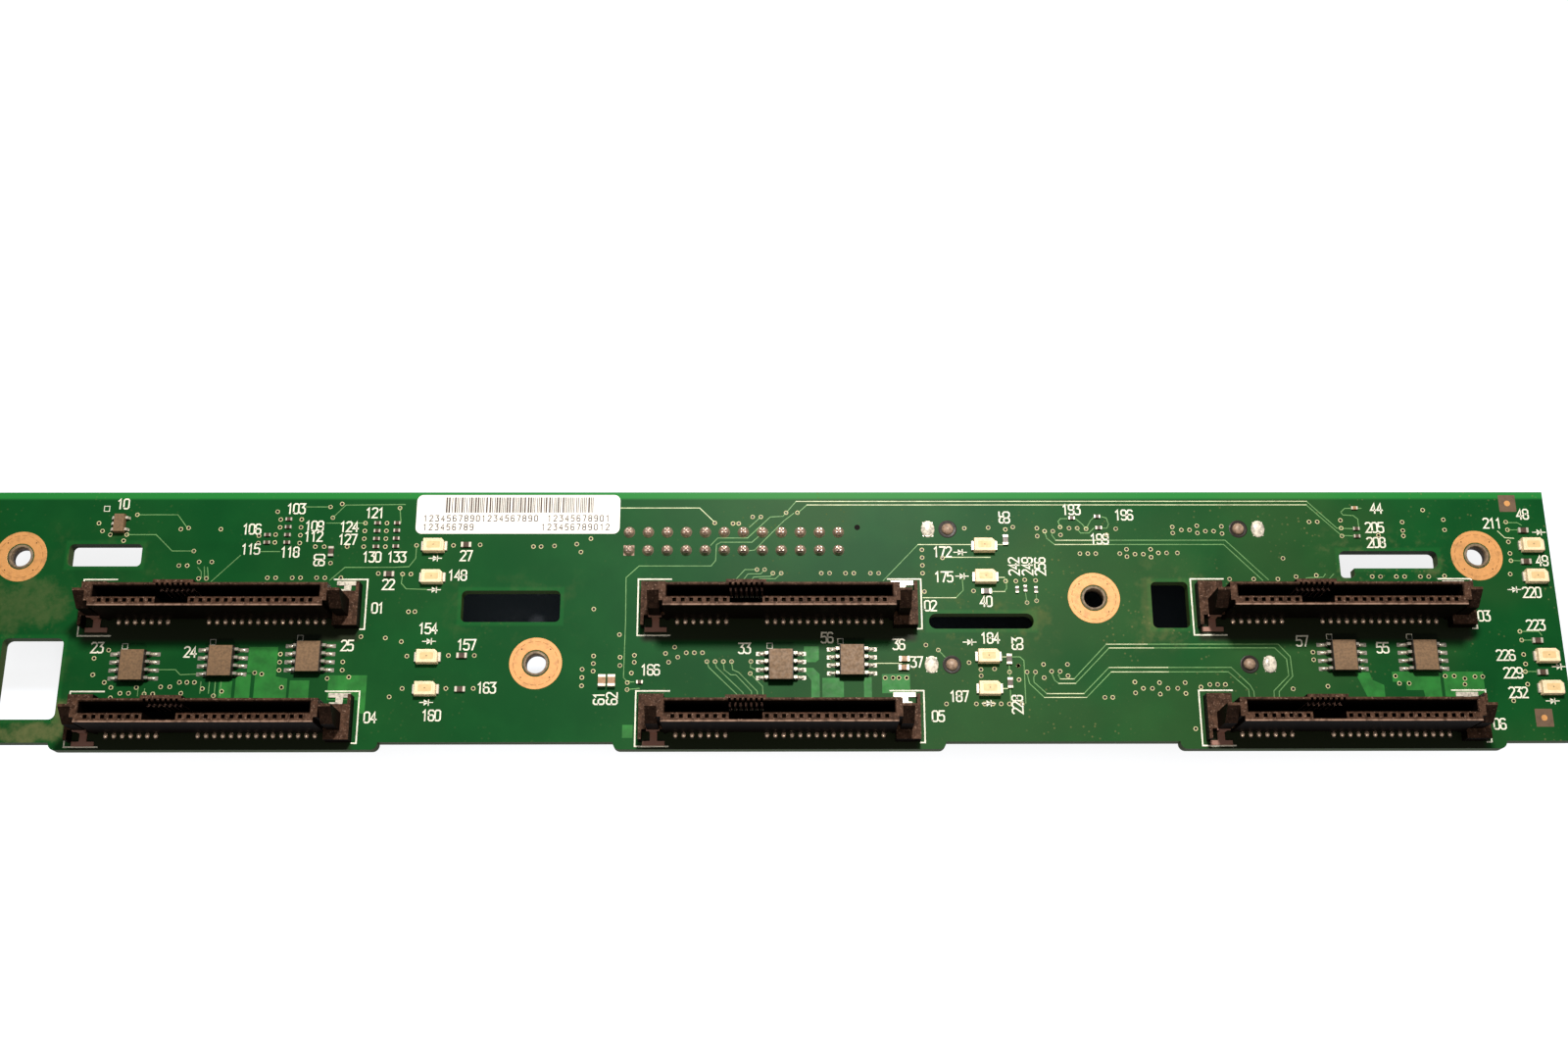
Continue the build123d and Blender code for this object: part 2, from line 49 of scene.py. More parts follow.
# Places on the board are in millimetres, from the middle column's centre line
# and from the upper sockets' tail row. Z is counted up from the board's front.
MM = 0.001
MIDDLE_X = 4.45
TAIL_ROW_Y = -0.68
FRONT_Z = 11.9
BOARD_THICKNESS = 2.0
BOARD_TOP_Y = 21.33
BAYS = (-86.55, 0.0, 86.55)
ROWS = (0.0, -17.83)
SINK = -0.02

CONTACT_PITCH = 1.27
CONTACT_X = [-15.875 + n * CONTACT_PITCH for n in range(7)]
CONTACT_X += [-1.905 + n * CONTACT_PITCH for n in range(15)]

WINDOW_SIZE = 0.5
WINDOW_Y = 1.13
SOCKET_HEIGHT = 9.0

# Openings through the board: low and high X, low and high Y
OPENINGS = [(-111.5, -100.1, 9.1, 12.75), (-120.0, -110.55, -15.25, -2.5),
            (-49.55, -34.15, 0.03, 5.1), (23.3, 39.6, -1.1, 1.35), (58.2, 64.0, -1.0, 6.45),
            (88.3, 103.8, 8.65, 11.5)]
SCREWS = [(-119.0, 10.7), (-37.6, -6.55), (49.2, 3.85), (110.1, 10.75)]
LIGHT_OFFSET_X = 32.3
LIGHT_ROWS = (12.33, 7.2, -5.6, -10.65)
SWITCHES = [(-99.3, -7.0), (-85.8, -6.35), (-72.4, -5.7), (0.25, -7.0), (11.2, -6.3),
            (87.2, -5.65), (99.7, -5.65)]
HEADER_FIRST_X = -23.66
HEADER_ROWS = (14.65, 11.65)
HEADER_PITCH = 3.0
SIGNAL_ROWS = (15.15, -6.82)
SIGNAL_CENTRE_X = 49.67
PEG_SPAN = 46.07
LOCK_SPAN = 52.33
# Dust patches: centre, half length, half width and share of dust
DUST_PATCHES = [(-114.5, -17.3, 6.5, 1.7, 0.5), (-109.6, -14.6, 1.5, 2.6, 0.5),
                (-118.0, 3.0, 8.0, 4.5, 0.22), (-110.4, 11.0, 1.4, 1.6, 0.35),
                (57.8, 2.6, 1.4, 4.2, 0.18), (40.0, 0.4, 3.0, 2.2, 0.22)]
LABEL_LOW = (-57.4, 14.4)

# Thin tracks whose near-white tone is a painted reflection first, then the dull ones that run
# under the green mask
BRIGHT_TRACKS = [
    [(2.7, 19.8), (84.0, 19.8)],
    [(4.4, 19.2), (83.9, 19.2)],
    [(-25.1, 18.7), (-12.6, 18.7), (-10.3, 16.4)],
    [(43.5, 12.6), (52.0, 12.6)],
    [(43.7, 13.3), (52.0, 13.3)],
    [(43.0, -9.8), (45.6, -9.8)],
    [(43.3, -9.1), (45.4, -9.1)],
    [(40.7, -12.0), (47.2, -12.0)],
    [(41.1, -11.4), (46.8, -11.4)],
    [(51.1, -4.2), (58.0, -4.2)],
    [(50.7, -3.6), (57.0, -3.6)],
    [(51.2, -8.0), (60.0, -8.0)],
    [(50.9, -7.3), (60.0, -7.3)],
    [(26.0, 10.5), (33.2, 10.5)],
    [(21.9, 12.6), (30.3, 12.6)],
    [(22.5, 3.9), (27.6, 3.9)],
    [(14.9, -6.6), (18.9, -6.6)],
    [(113.9, 14.8), (114.9, 13.7), (116.3, 13.6)],
    [(33.8, 7.2), (35.3, 7.2)],
    [(34.0, 12.6), (35.4, 12.6)],
    [(34.0, -5.6), (35.2, -5.6)],
    [(34.0, -10.6), (35.2, -10.6)],
    [(33.2, 4.9), (35.3, 4.9)],
]
DULL_TRACKS = [
    [(1.1, 17.9), (2.7, 19.8)],
    [(2.9, 17.8), (4.4, 19.2)],
    [(84.0, 19.8), (88.4, 15.3), (90.8, 15.2)],
    [(83.9, 19.2), (89.0, 14.1), (90.8, 14.0)],
    [(42.0, 14.7), (42.3, 13.6), (43.5, 12.6)],
    [(52.0, 12.6), (70.2, 12.6), (75.9, 6.7)],
    [(43.3, 14.7), (43.1, 14.2), (43.7, 13.3)],
    [(52.0, 13.3), (70.5, 13.3), (76.8, 6.8)],
    [(42.0, -8.2), (42.4, -9.3), (43.0, -9.8)],
    [(45.6, -9.8), (51.1, -4.2)],
    [(58.0, -4.2), (76.8, -4.2), (78.5, -6.0), (78.6, -8.6), (76.1, -11.0), (76.0, -13.2)],
    [(43.3, -8.2), (43.0, -8.5), (43.3, -9.1)],
    [(45.4, -9.1), (50.7, -3.6)],
    [(57.0, -3.6), (77.4, -3.6), (79.1, -5.6), (79.2, -8.7), (76.9, -11.1), (76.8, -13.2)],
    [(38.2, -8.3), (38.5, -9.8), (40.7, -12.0)],
    [(47.2, -12.0), (51.2, -8.0)],
    [(60.0, -8.0), (69.3, -8.0), (72.2, -10.8), (72.3, -13.2)],
    [(39.5, -8.3), (39.2, -8.8), (39.2, -9.6), (41.1, -11.4)],
    [(46.8, -11.4), (50.9, -7.3)],
    [(60.0, -7.3), (69.8, -7.3), (72.5, -10.1), (73.0, -11.1), (73.0, -13.2)],
    [(-4.7, 15.5), (-3.0, 17.1)],
    [(-10.8, 12.5), (-9.7, 13.7), (-5.0, 13.7), (-1.4, 17.2), (0.6, 17.3), (1.1, 17.9)],
    [(-24.0, -8.8), (-23.9, 0.1), (-24.0, 7.2), (-22.0, 9.1), (-10.7, 9.1), (-10.0, 10.0),
     (-9.9, 12.6), (-9.2, 13.0), (-4.3, 13.0), (-3.2, 14.0), (-1.7, 14.65)],
    [(-24.0, -8.8), (-23.4, -9.5), (-22.4, -9.5)],
    [(-23.4, -10.7), (-21.5, -10.5)],
    [(-4.7, 11.6), (-3.9, 11.7), (0.8, 16.6), (2.3, 17.8)],
    [(-101.5, 17.6), (-95.1, 17.6), (-93.4, 15.4)],
    [(-102.8, 14.3), (-98.2, 14.3), (-95.4, 11.6), (-92.0, 11.6)],
    [(-88.8, 6.6), (-84.6, 10.9)],
    [(-75.0, 18.9), (-71.2, 18.9)],
    [(-70.6, 17.1), (-68.7, 19.2), (-59.3, 19.3)],
    [(-71.5, 16.2), (-65.4, 16.2)],
    [(-81.5, 11.5), (-78.5, 11.5)],
    [(-70.3, 6.8), (-68.1, 8.9), (-60.5, 8.9), (-58.1, 9.0), (-57.1, 10.4), (-57.1, 12.4)],
    [(-60.1, 18.7), (-59.8, 16.3)],
    [(-59.0, 7.7), (-59.1, 6.3), (-58.3, 5.4), (-55.1, 5.3)],
    [(16.3, 6.7), (21.9, 12.6)],
    [(27.6, 3.9), (28.8, 5.1), (28.7, 6.9)],
    [(24.6, -4.5), (25.6, -5.6)],
    [(-95.4, -7.5), (-92.9, -7.5), (-92.1, -8.3), (-89.6, -8.2)],
    [(35.3, 7.2), (35.6, 6.8), (35.6, 5.4), (35.2, 4.9)],
    [(35.6, -5.6), (37.2, -5.6), (37.8, -6.2), (37.8, -12.9)],
    [(35.5, -6.6), (35.5, -13.0)],
    [(44.6, 15.5), (44.2, 16.4), (44.6, 16.9), (45.7, 16.9)],
    [(47.0, 16.9), (48.0, 16.0), (48.6, 15.2)],
    [(48.6, 15.2), (49.4, 16.6), (50.0, 17.2)],
    [(51.2, 17.2), (51.9, 17.0), (52.2, 16.0), (51.9, 15.3), (51.3, 15.3)],
    [(47.1, 15.3), (47.7, 14.5), (49.0, 14.5), (49.8, 15.3)],
    [(-91.1, 8.9), (-90.5, 8.2), (-90.4, 7.2)],
    [(-90.1, 9.0), (-89.9, 7.2)],
    [(-89.6, 8.9), (-89.3, 7.2)],
    [(-88.8, -9.4), (-88.8, -11.2)],
    [(-87.5, -9.4), (-87.5, -11.2)],
    [(-86.6, -9.4), (-86.6, -11.6)],
    [(-85.7, -9.4), (-85.7, -11.6)],
    [(-98.3, -10.5), (-98.3, -11.6)],
    [(-97.3, -10.5), (-97.3, -11.6)],
    [(91.9, 18.6), (92.6, 18.6)],
    [(89.3, 18.0), (90.0, 18.6), (90.9, 18.6)],
    [(89.3, 18.0), (89.6, 17.5), (91.2, 17.4), (91.9, 16.8), (91.9, 15.4)],
    [(38.5, 5.0), (38.7, 3.1)],
    [(40.2, 4.9), (40.2, 3.4)],
    [(115.4, 9.9), (117.0, 9.9)],
    [(115.0, 16.2), (117.2, 16.2), (117.8, 15.8)],
    [(115.5, 15.0), (117.0, 15.0)],
    [(115.3, -1.6), (118.2, -1.6), (118.6, -2.2)],
    [(115.4, -3.0), (117.0, -3.0)],
    [(115.3, -8.0), (117.0, -8.0)],
]
SECOND_PORT_TRACKS = [
    [(-6.7, 7.0), (-5.4, 8.5), (-3.5, 8.5)],
    [(-5.5, 7.0), (-4.9, 7.8), (-2.9, 7.8), (-2.3, 8.5)],
    [(-4.2, 7.0), (-4.0, 7.3), (-1.4, 7.4), (-1.0, 7.9)],
    [(-3.1, 7.0), (-0.6, 7.0), (0.3, 7.9)],
]
LOWER_PORT_TRACKS = [
    [(-11.2, -6.3), (-10.9, -7.2), (-6.6, -11.4), (-6.6, -13.3)],
    [(-10.0, -6.3), (-9.7, -7.2), (-5.6, -11.2), (-5.6, -13.3)],
    [(-8.7, -6.3), (-8.5, -7.6), (-7.5, -8.4), (-6.7, -8.4), (-4.3, -11.0), (-4.2, -13.3)],
    [(-7.4, -6.3), (-7.2, -7.6), (-6.3, -8.0), (-3.4, -11.0), (-3.3, -13.3)],
    [(-4.5, -8.2), (-2.6, -10.2), (-2.4, -13.3)],
    [(-4.4, -6.3), (-4.5, -7.2), (-3.7, -7.6)],
]

# Plated through holes: rows of (first X, Y, how many, step X), columns of (X, first Y, how
# many, step Y), then the ones that stand alone
VIA_ROWS = [
    (-80.1, 7.2, 2, 1.3), (-76.2, 7.2, 2, 1.3), (-72.4, 7.2, 2, 1.3), (6.6, 7.9, 2, 1.3),
    (10.4, 7.9, 2, 1.3), (14.3, 7.9, 2, 1.3), (93.2, 7.3, 2, 1.3), (97.0, 7.3, 2, 1.3),
    (100.8, 7.3, 2, 1.3), (-94.1, 9.2, 2, 1.3), (-90.8, 7.1, 2, 1.2), (-73.0, 12.3, 2, 1.4),
    (-59.0, 7.8, 2, 1.3), (-57.7, 1.7, 2, 1.0), (-38.7, 12.3, 2, 1.2), (-14.4, -4.9, 3, 1.25),
    (-11.2, -6.3, 4, 1.27), (-7.3, 16.1, 2, 0.9), (-4.2, 17.2, 2, 1.3), (-3.5, 8.5, 2, 1.2),
    (-1.0, 7.9, 2, 1.3), (47.4, 11.1, 3, 1.25), (56.1, 11.0, 2, 1.3), (59.8, 11.2, 2, 1.3),
    (63.7, 15.0, 2, 1.3), (67.5, 14.8, 2, 1.3), (42.0, 14.8, 2, 1.3), (45.9, 15.3, 2, 1.3),
    (38.2, -8.0, 2, 1.3), (42.0, -7.9, 2, 1.3), (50.0, -12.0, 2, 1.2), (56.0, -10.6, 2, 1.4),
    (59.8, -10.6, 2, 1.5), (30.2, -13.0, 5, 1.27), (16.3, -8.9, 2, 1.2), (18.4, -8.9, 2, 1.2),
    (84.1, 16.35, 2, 1.3), (102.8, -8.7, 2, 1.4), (107.4, -8.8, 2, 1.2), (-103.6, -9.5, 1, 1.0),
    (-92.1, -9.5, 3, 1.15), (-94.9, -10.2, 2, 1.4), (-101.0, -11.2, 2, 1.3),
    (-97.3, -11.3, 2, 1.3), (66.3, -10.0, 3, 1.2), (95.6, -9.85, 2, 1.5), (1.1, 17.9, 2, 1.8),
]
VIA_COLUMNS = [
    (-65.4, 12.3, 4, 1.3), (-62.0, 12.3, 4, 1.3), (22.5, 7.9, 4, 1.28), (-77.0, -7.6, 3, 1.27),
    (-28.7, -7.8, 3, 1.2), (-30.4, -10.1, 3, 1.3), (-24.6, -6.9, 2, 1.3), (-22.4, -6.4, 2, 1.1),
    (-67.3, -7.6, 2, 1.3), (40.8, 14.0, 2, 1.3), (44.5, 14.2, 2, 1.3), (54.8, 10.6, 2, 1.2),
    (58.6, 10.5, 2, 1.3), (62.3, 14.5, 2, 1.0), (66.2, 14.5, 2, 1.2), (70.1, 14.4, 2, 1.2),
    (31.1, -8.6, 2, 1.0), (36.9, -9.2, 2, 2.2), (40.8, -8.9, 2, 2.1), (44.5, -8.6, 2, 1.8),
    (54.75, -11.3, 2, 1.7), (58.55, -11.5, 2, 1.8), (62.5, -11.4, 2, 1.7), (82.7, -6.1, 2, 1.2),
    (98.85, 14.0, 2, 0.9), (89.1, 14.0, 3, 1.3), (-78.8, 15.5, 2, 1.3), (-79.4, 13.0, 2, 1.3),
    (-75.5, 12.9, 4, 1.3), (-82.0, 12.9, 2, 1.2), (105.5, 15.0, 2, 1.7),
]
LONE_VIAS = [
    (-107.4, 16.2), (-106.7, 14.9), (-105.4, 14.3), (-102.8, 14.3), (-103.2, 13.3),
    (-101.5, 17.6), (-94.4, 15.2), (-93.2, 15.4), (-88.1, 15.2), (-92.0, 11.6), (-91.0, 9.8),
    (-89.0, 9.8), (-79.4, 18.1), (-71.1, 18.9), (-70.6, 17.1), (-69.3, 19.4), (-68.0, 12.3),
    (-70.4, 9.6), (-60.1, 18.7), (-62.8, 7.9), (-57.1, 12.5), (-51.3, 12.5), (-47.1, 12.6),
    (-35.4, 12.4), (-31.9, 12.7), (-31.2, 11.4), (-29.7, 13.6), (-68.6, 7.2), (-28.9, 2.1),
    (-24.8, -2.0), (-16.2, -4.0), (-17.6, -5.0), (-15.7, -5.6), (-17.1, -6.4), (-10.2, 16.2),
    (-22.8, -8.1), (-23.4, -9.6), (-23.4, -10.7), (-4.4, -6.3), (-4.5, -8.2), (29.3, 15.3),
    (33.1, 15.4), (35.8, 15.1), (37.0, 15.5), (48.6, 15.2), (51.8, 14.2), (53.3, 15.2),
    (25.7, 10.4), (30.4, 5.0), (35.5, 6.6), (37.1, 6.6), (38.5, 6.8), (40.2, 6.7), (38.7, 3.1),
    (40.2, 3.4), (22.7, 4.9), (22.7, -3.7), (24.6, -4.5), (29.3, -6.5), (33.2, -7.5),
    (35.5, -8.0), (25.6, -13.0), (37.2, -13.0), (53.7, 11.1), (62.8, 11.2), (79.4, 10.3),
    (70.7, 6.9), (74.5, 6.9), (78.3, 6.9), (81.2, 7.3), (84.4, 7.5), (94.9, 14.1),
    (98.9, 16.3), (102.4, 18.3), (104.6, 7.4), (115.4, 16.3), (115.5, 15.0), (115.4, 13.0),
    (115.4, 11.1), (115.4, 9.9), (115.0, 7.7), (115.3, -1.6), (115.4, -3.0), (115.4, -5.3),
    (115.5, -6.8), (115.3, -8.0), (115.4, -10.0), (112.9, -12.6), (-103.5, -4.4),
    (-105.6, -5.7), (-105.5, -8.3), (-102.5, -10.3), (-98.6, -10.3), (-102.4, -11.9),
    (-91.7, -11.2), (-88.5, -10.5), (-86.7, -11.6), (-85.5, -10.9), (-80.7, -8.0),
    (-79.6, -8.2), (-76.4, -10.3), (-69.5, -8.9), (-66.2, -8.7), (-64.8, -2.3), (-61.0, -2.5),
    (-58.5, -3.1), (-57.5, -5.4), (-51.1, -5.3), (-47.1, -5.3), (-59.8, -11.8),
    (-57.9, -10.5), (-51.2, -10.5), (-47.0, -10.5), (36.9, -7.0), (64.9, -10.4), (63.6, -16.9),
    (79.1, -10.7), (84.5, -10.3), (95.1, -8.7), (105.7, -10.0), (105.8, -9.1),
]

# Bare copper areas that show lighter through the green mask: outlines
POURS = [
    [(3.8, -3.9), (6.1, -3.9), (6.1, -6.0), (5.6, -6.4), (3.8, -6.4)],
    [(3.4, -7.3), (5.2, -7.3), (6.2, -8.3), (6.2, -12.2), (4.9, -12.2), (4.9, -9.3)],
    [(6.6, -8.9), (9.2, -8.9), (9.9, -9.6), (9.9, -12.2), (6.6, -12.2)],
    [(13.0, -8.8), (14.2, -8.8), (14.2, -12.1), (13.0, -12.1)],
    [(15.8, -8.3), (20.1, -8.3), (20.1, -11.3), (15.8, -11.3)],
    [(-81.9, -3.9), (-77.4, -3.9), (-77.4, -8.6), (-75.6, -8.9), (-75.6, -12.3), (-80.6, -12.3),
     (-80.6, -8.0), (-81.9, -8.0)],
    [(-86.0, -9.3), (-84.0, -9.3), (-84.0, -12.3), (-86.0, -12.3)],
    [(-83.5, -8.2), (-81.2, -8.2), (-81.2, -12.3), (-83.5, -12.3)],
    [(-75.2, -9.2), (-72.2, -9.2), (-72.2, -12.3), (-75.2, -12.3)],
    [(-69.3, -8.4), (-63.4, -8.4), (-63.4, -14.4), (-64.6, -14.4), (-64.6, -12.3), (-69.3, -12.3)],
    [(88.9, -8.1), (91.1, -8.1), (91.5, -9.3), (93.2, -10.1), (93.2, -12.3), (90.6, -12.3)],
    [(94.6, -8.0), (102.0, -8.0), (102.0, -12.1), (99.4, -12.1), (99.2, -10.9), (96.6, -10.9),
     (96.6, -9.6), (94.6, -9.6)],
    [(102.5, -8.0), (108.7, -8.0), (108.7, -12.0), (102.5, -12.0)],
    [(-24.0, -16.2), (-22.4, -16.2), (-22.4, -18.2), (-24.0, -18.2)],
]

# Own plain numbers: place of the middle and how many digits. The second list stands upright
NUMBERS = [
    (-103.9, 19.4, 2), (-76.5, 18.6, 3), (-83.2, 15.2, 3), (-73.4, 15.7, 3), (-73.4, 14.0, 3),
    (-83.1, 11.9, 3), (-76.9, 11.4, 3), (-64.0, 17.9, 3), (-67.9, 15.6, 3), (-68.0, 13.5, 3),
    (-64.0, 10.6, 3), (-60.1, 10.6, 3), (-61.1, 6.1, 2), (-105.3, -4.0, 2), (-90.9, -4.7, 2),
    (-66.8, -3.7, 2), (-50.4, 7.6, 3), (-49.2, 10.8, 2), (-54.5, -1.0, 3), (-48.4, -3.6, 3),
    (-53.2, -14.7, 3), (-45.0, -10.4, 3), (-19.9, -7.6, 3), (-5.4, -4.2, 2), (25.7, 11.4, 3),
    (25.8, 7.3, 3), (18.5, -3.6, 2), (21.2, -6.4, 2), (32.7, -2.6, 3), (27.6, -11.8, 3),
    (32.3, 3.3, 2), (46.4, 18.4, 3), (54.7, 17.5, 3), (50.6, 13.5, 3), (95.0, 18.6, 2),
    (94.4, 15.4, 3), (94.4, 12.9, 3), (113.2, 16.1, 3), (118.2, 17.6, 2), (120.3, 9.9, 2),
    (118.0, 4.7, 3), (117.9, -0.6, 3), (112.6, -5.4, 3), (113.4, -8.2, 3), (113.8, -11.3, 3),
    (93.6, -4.2, 2), (7.4, -2.5, 2), (81.2, -3.1, 2),
]
UPRIGHT_NUMBERS = [
    (-72.2, 10.1, 2), (-27.7, -12.1, 2), (-25.7, -12.1, 2), (36.9, -3.5, 2), (36.5, -13.1, 3),
    (35.7, 17.1, 2), (36.9, 9.0, 3), (39.0, 9.0, 3), (41.0, 9.0, 3),
]
SOCKET_NUMBERS = [(-62.5, 2.3), (23.6, 2.6), (110.0, 0.9), (-62.5, -15.0), (24.3, -14.9),
                  (110.3, -16.2)]
DIODE_MARKS = [(-54.04, 10.39), (-53.92, 5.25), (-54.21, -3.05), (-54.09, -12.68),
               (28.51, 11.32), (28.67, 7.4), (29.5, -3.25), (32.11, -12.91), (120.45, 14.59),
               (115.33, 5.16), (120.6, -7.23), (118.91, -12.63)]

# Single-line digits on a grid two wide and four high
DIGITS = {
    "0": [[(0, 0.5), (0, 3.5), (0.5, 4), (1.5, 4), (2, 3.5), (2, 0.5), (1.5, 0), (0.5, 0),
           (0, 0.5)]],
    "1": [[(0.4, 3.2), (1.1, 4), (1.1, 0)]],
    "2": [[(0, 3.5), (0.5, 4), (1.5, 4), (2, 3.5), (2, 2.7), (0, 0), (2, 0)]],
    "3": [[(0, 4), (2, 4), (1, 2.5), (1.5, 2.4), (2, 1.9), (2, 0.5), (1.5, 0), (0.4, 0),
           (0, 0.4)]],
    "4": [[(1.5, 0), (1.5, 4), (0, 1.2), (2.1, 1.2)]],
    "5": [[(2, 4), (0.2, 4), (0, 2.3), (1.4, 2.5), (2, 2), (2, 0.5), (1.5, 0), (0.4, 0),
           (0, 0.4)]],
    "6": [[(1.9, 3.6), (1.5, 4), (0.5, 4), (0, 3.5), (0, 0.5), (0.5, 0), (1.5, 0), (2, 0.5),
           (2, 1.7), (1.5, 2.2), (0, 2.1)]],
    "7": [[(0, 4), (2, 4), (0.8, 0)]],
    "8": [[(0.5, 2.1), (0, 2.6), (0, 3.5), (0.5, 4), (1.5, 4), (2, 3.5), (2, 2.6), (1.5, 2.1),
           (0.5, 2.1), (0, 1.6), (0, 0.5), (0.5, 0), (1.5, 0), (2, 0.5), (2, 1.6), (1.5, 2.1)]],
    "9": [[(0.1, 0.4), (0.5, 0), (1.5, 0), (2, 0.5), (2, 3.5), (1.5, 4), (0.5, 4), (0, 3.5),
           (0, 2.3), (0.5, 1.8), (2, 1.9)]],
}

# Heights of thin things above the mask
POUR_HEIGHT = 0.006
DULL_TRACK_HEIGHT = 0.018
TRACK_HEIGHT = 0.02
PRINT_HEIGHT = 0.03
COPPER_HEIGHT = 0.03
PAD_HEIGHT = 0.03

# Screw holes with their plating and copper rings
HOLE_RADIUS = 1.6
PLATING_RADIUS = 1.575
LAND_RADIUS = 1.98
RING_INNER = 2.1
WEAR_RADIUS = 3.45
WEAR_DASHES = 18
DIMPLE_RADIUS = 3.15
FIDUCIALS = [(116.0, 19.42), (117.27, -15.25)]
FIDUCIAL_RADIUS = 0.49
CLEARING_SIZE = (2.7, 2.8)
CLEARING_COLOUR = (0.40, 0.31, 0.23)
HOLE_SHADOW_COLOUR = (0.03, 0.04, 0.02)

# Outlines of the drive sockets in print: top, left low end and right low end of each row
OUTLINES = [(6.93, -2.13, -1.1), (ROWS[1] + 6.91, -19.5, -18.98)]
LOGIC_FIRST_PIN = (-106.4, 18.6)

# Status lights: half length, half width and cut corner of the body, and its two heights
LIGHT_HALF_X = 1.65
LIGHT_HALF_Y = 1.07
LIGHT_CUT = 0.45
LIGHT_TOP = 1.25
LIGHT_WINDOW_LEVEL = 1.2

# Label, from its lower left corner: rows of (text, start, height), faces of the paper and of
# the ink above the board, and the reach of the bars
LABEL_ROWS = [("12345678901234567890", 1.0, 2.55), ("12345678901", 20.6, 2.55),
              ("123456789", 1.0, 1.1), ("123456789012", 19.7, 1.1)]
LABEL_FACE = 0.09
LABEL_INK_FACE = 0.112
BARS_X = (4.6, 28.0)
BARS_Y = (3.5, 6.05)

# Deep shade round a drive socket: soft edges below, above and beside its tail row
SHADE_BELOW = (-3.6, -2.5)
SHADE_ABOVE = (4.1, 4.25)
SHADE_BESIDE = (20.6, 22.0)


def join(shapes):
    """Several shapes as one: their points in a row, with their faces renumbered to match."""
    start = 0
    points = []
    faces = {}
    for shape_points, shape_faces in shapes:
        points.append(shape_points)
        for corners, rows in shape_faces.items():
            faces.setdefault(corners, []).append(rows + start)
        start += len(shape_points)
    return np.concatenate(points), {c: np.concatenate(rows) for c, rows in faces.items()}


def tile(shape, places, level=0.0):
    """One shape repeated: every point plus every place, and the faces shifted for each copy."""
    points, faces = shape
    places = np.column_stack([np.asarray(places, float), np.full(len(places), level)])
    spread = (points[None] + places[:, None]).reshape(-1, 3)
    shift = len(points) * np.arange(len(places))[:, None, None]
    return spread, {c: (rows[None] + shift).reshape(-1, c) for c, rows in faces.items()}


def on_side(shape, side):
    """The shape on the board's front, or rolled over about X on to its back."""
    points, faces = shape
    if side == "back":
        points = points * (1, -1, -1) - (0, 0, BOARD_THICKNESS)
    return points, faces


def stacked(rings, closed_ends=True):
    """Rings of equal length joined by quads, ring k to ring k + 1, with a face on both ends."""
    count, sides, _ = rings.shape
    ring, side = np.meshgrid(np.arange(count - 1), np.arange(sides), indexing="ij")
    after = (side + 1) % sides
    quads = np.stack([ring * sides + side, ring * sides + after, (ring + 1) * sides + after,
                      (ring + 1) * sides + side], axis=-1).reshape(-1, 4)
    faces = {4: quads}
    if closed_ends:
        first = np.arange(sides)[::-1][None]
        last = ((count - 1) * sides + np.arange(sides))[None]
        both = np.concatenate([first, last])
        faces[sides] = np.concatenate([quads, both]) if sides == 4 else both
    return rings.reshape(-1, 3), faces


def with_height(flat, height):
    """Points of X and Y in rings, each ring given its own Z."""
    high = np.broadcast_to(np.asarray(height, float)[:, None, None], flat.shape[:2] + (1,))
    return np.concatenate([flat, high], axis=-1)


def layered(outline, layers):
    """An outline stacked in layers of (inset, Z), each scaled about its middle by the inset."""
    outline = np.asarray(outline, float)
    middle = (outline.max(axis=0) + outline.min(axis=0)) / 2
    size = outline.max(axis=0) - outline.min(axis=0)
    inset, height = np.asarray(layers, float).T
    scale = 1 - 2 * inset[:, None] / size
    flat = middle + (outline - middle)[None] * scale[:, None]
    return stacked(with_height(flat, height))


def patch(outline, high, low=SINK):
    """A flat outline with a thickness, its sides straight."""
    outline = np.asarray(outline, float)
    after = np.roll(outline, -1, axis=0)
    turn = (outline[:, 0] * after[:, 1] - after[:, 0] * outline[:, 1]).sum()
    return layered(outline[::-1] if turn < 0 else outline, [(0, low), (0, high)])


def round_points(radius, sides):
    """Points on a circle round the origin: radius times (cosine, sine) of even angles."""
    angle = np.linspace(0, 2 * np.pi, sides, endpoint=False)
    return np.asarray(radius)[..., None] * np.stack([np.cos(angle), np.sin(angle)], axis=-1)


def turned(profile, sides):
    """A closed profile of (radius, Z) turned round Z."""
    profile = np.asarray(profile, float)
    rings = with_height(round_points(profile[:, :1], sides), profile[:, 1])
    return stacked(np.concatenate([rings, rings[:1]]), closed_ends=False)


def dome(radius_x, radius_y, height, sides=12, steps=4, power=1.0):
    """A mound: radius follows the cosine and height the sine of the rising angle."""
    rise = np.linspace(0, 0.94 * np.pi / 2, steps)
    radius = np.concatenate([[1.0], np.cos(rise) ** power])
    high = np.concatenate([[SINK], height * np.sin(rise)])
    flat = round_points(radius[:, None], sides) * (radius_x, radius_y)
    return stacked(with_height(flat, high))


def rounded(length, width, radius, steps=4):
    """Outline of a rectangle with round corners, going round anticlockwise."""
    quarter = np.linspace(0, np.pi / 2, steps + 1)
    angle = (quarter[None] + np.arange(4)[:, None] * np.pi / 2).ravel()
    corner = np.repeat([(1, 1), (-1, 1), (-1, -1), (1, -1)], steps + 1, axis=0)
    centre = corner * (length / 2 - radius, width / 2 - radius)
    return centre + radius * np.stack([np.cos(angle), np.sin(angle)], axis=-1)


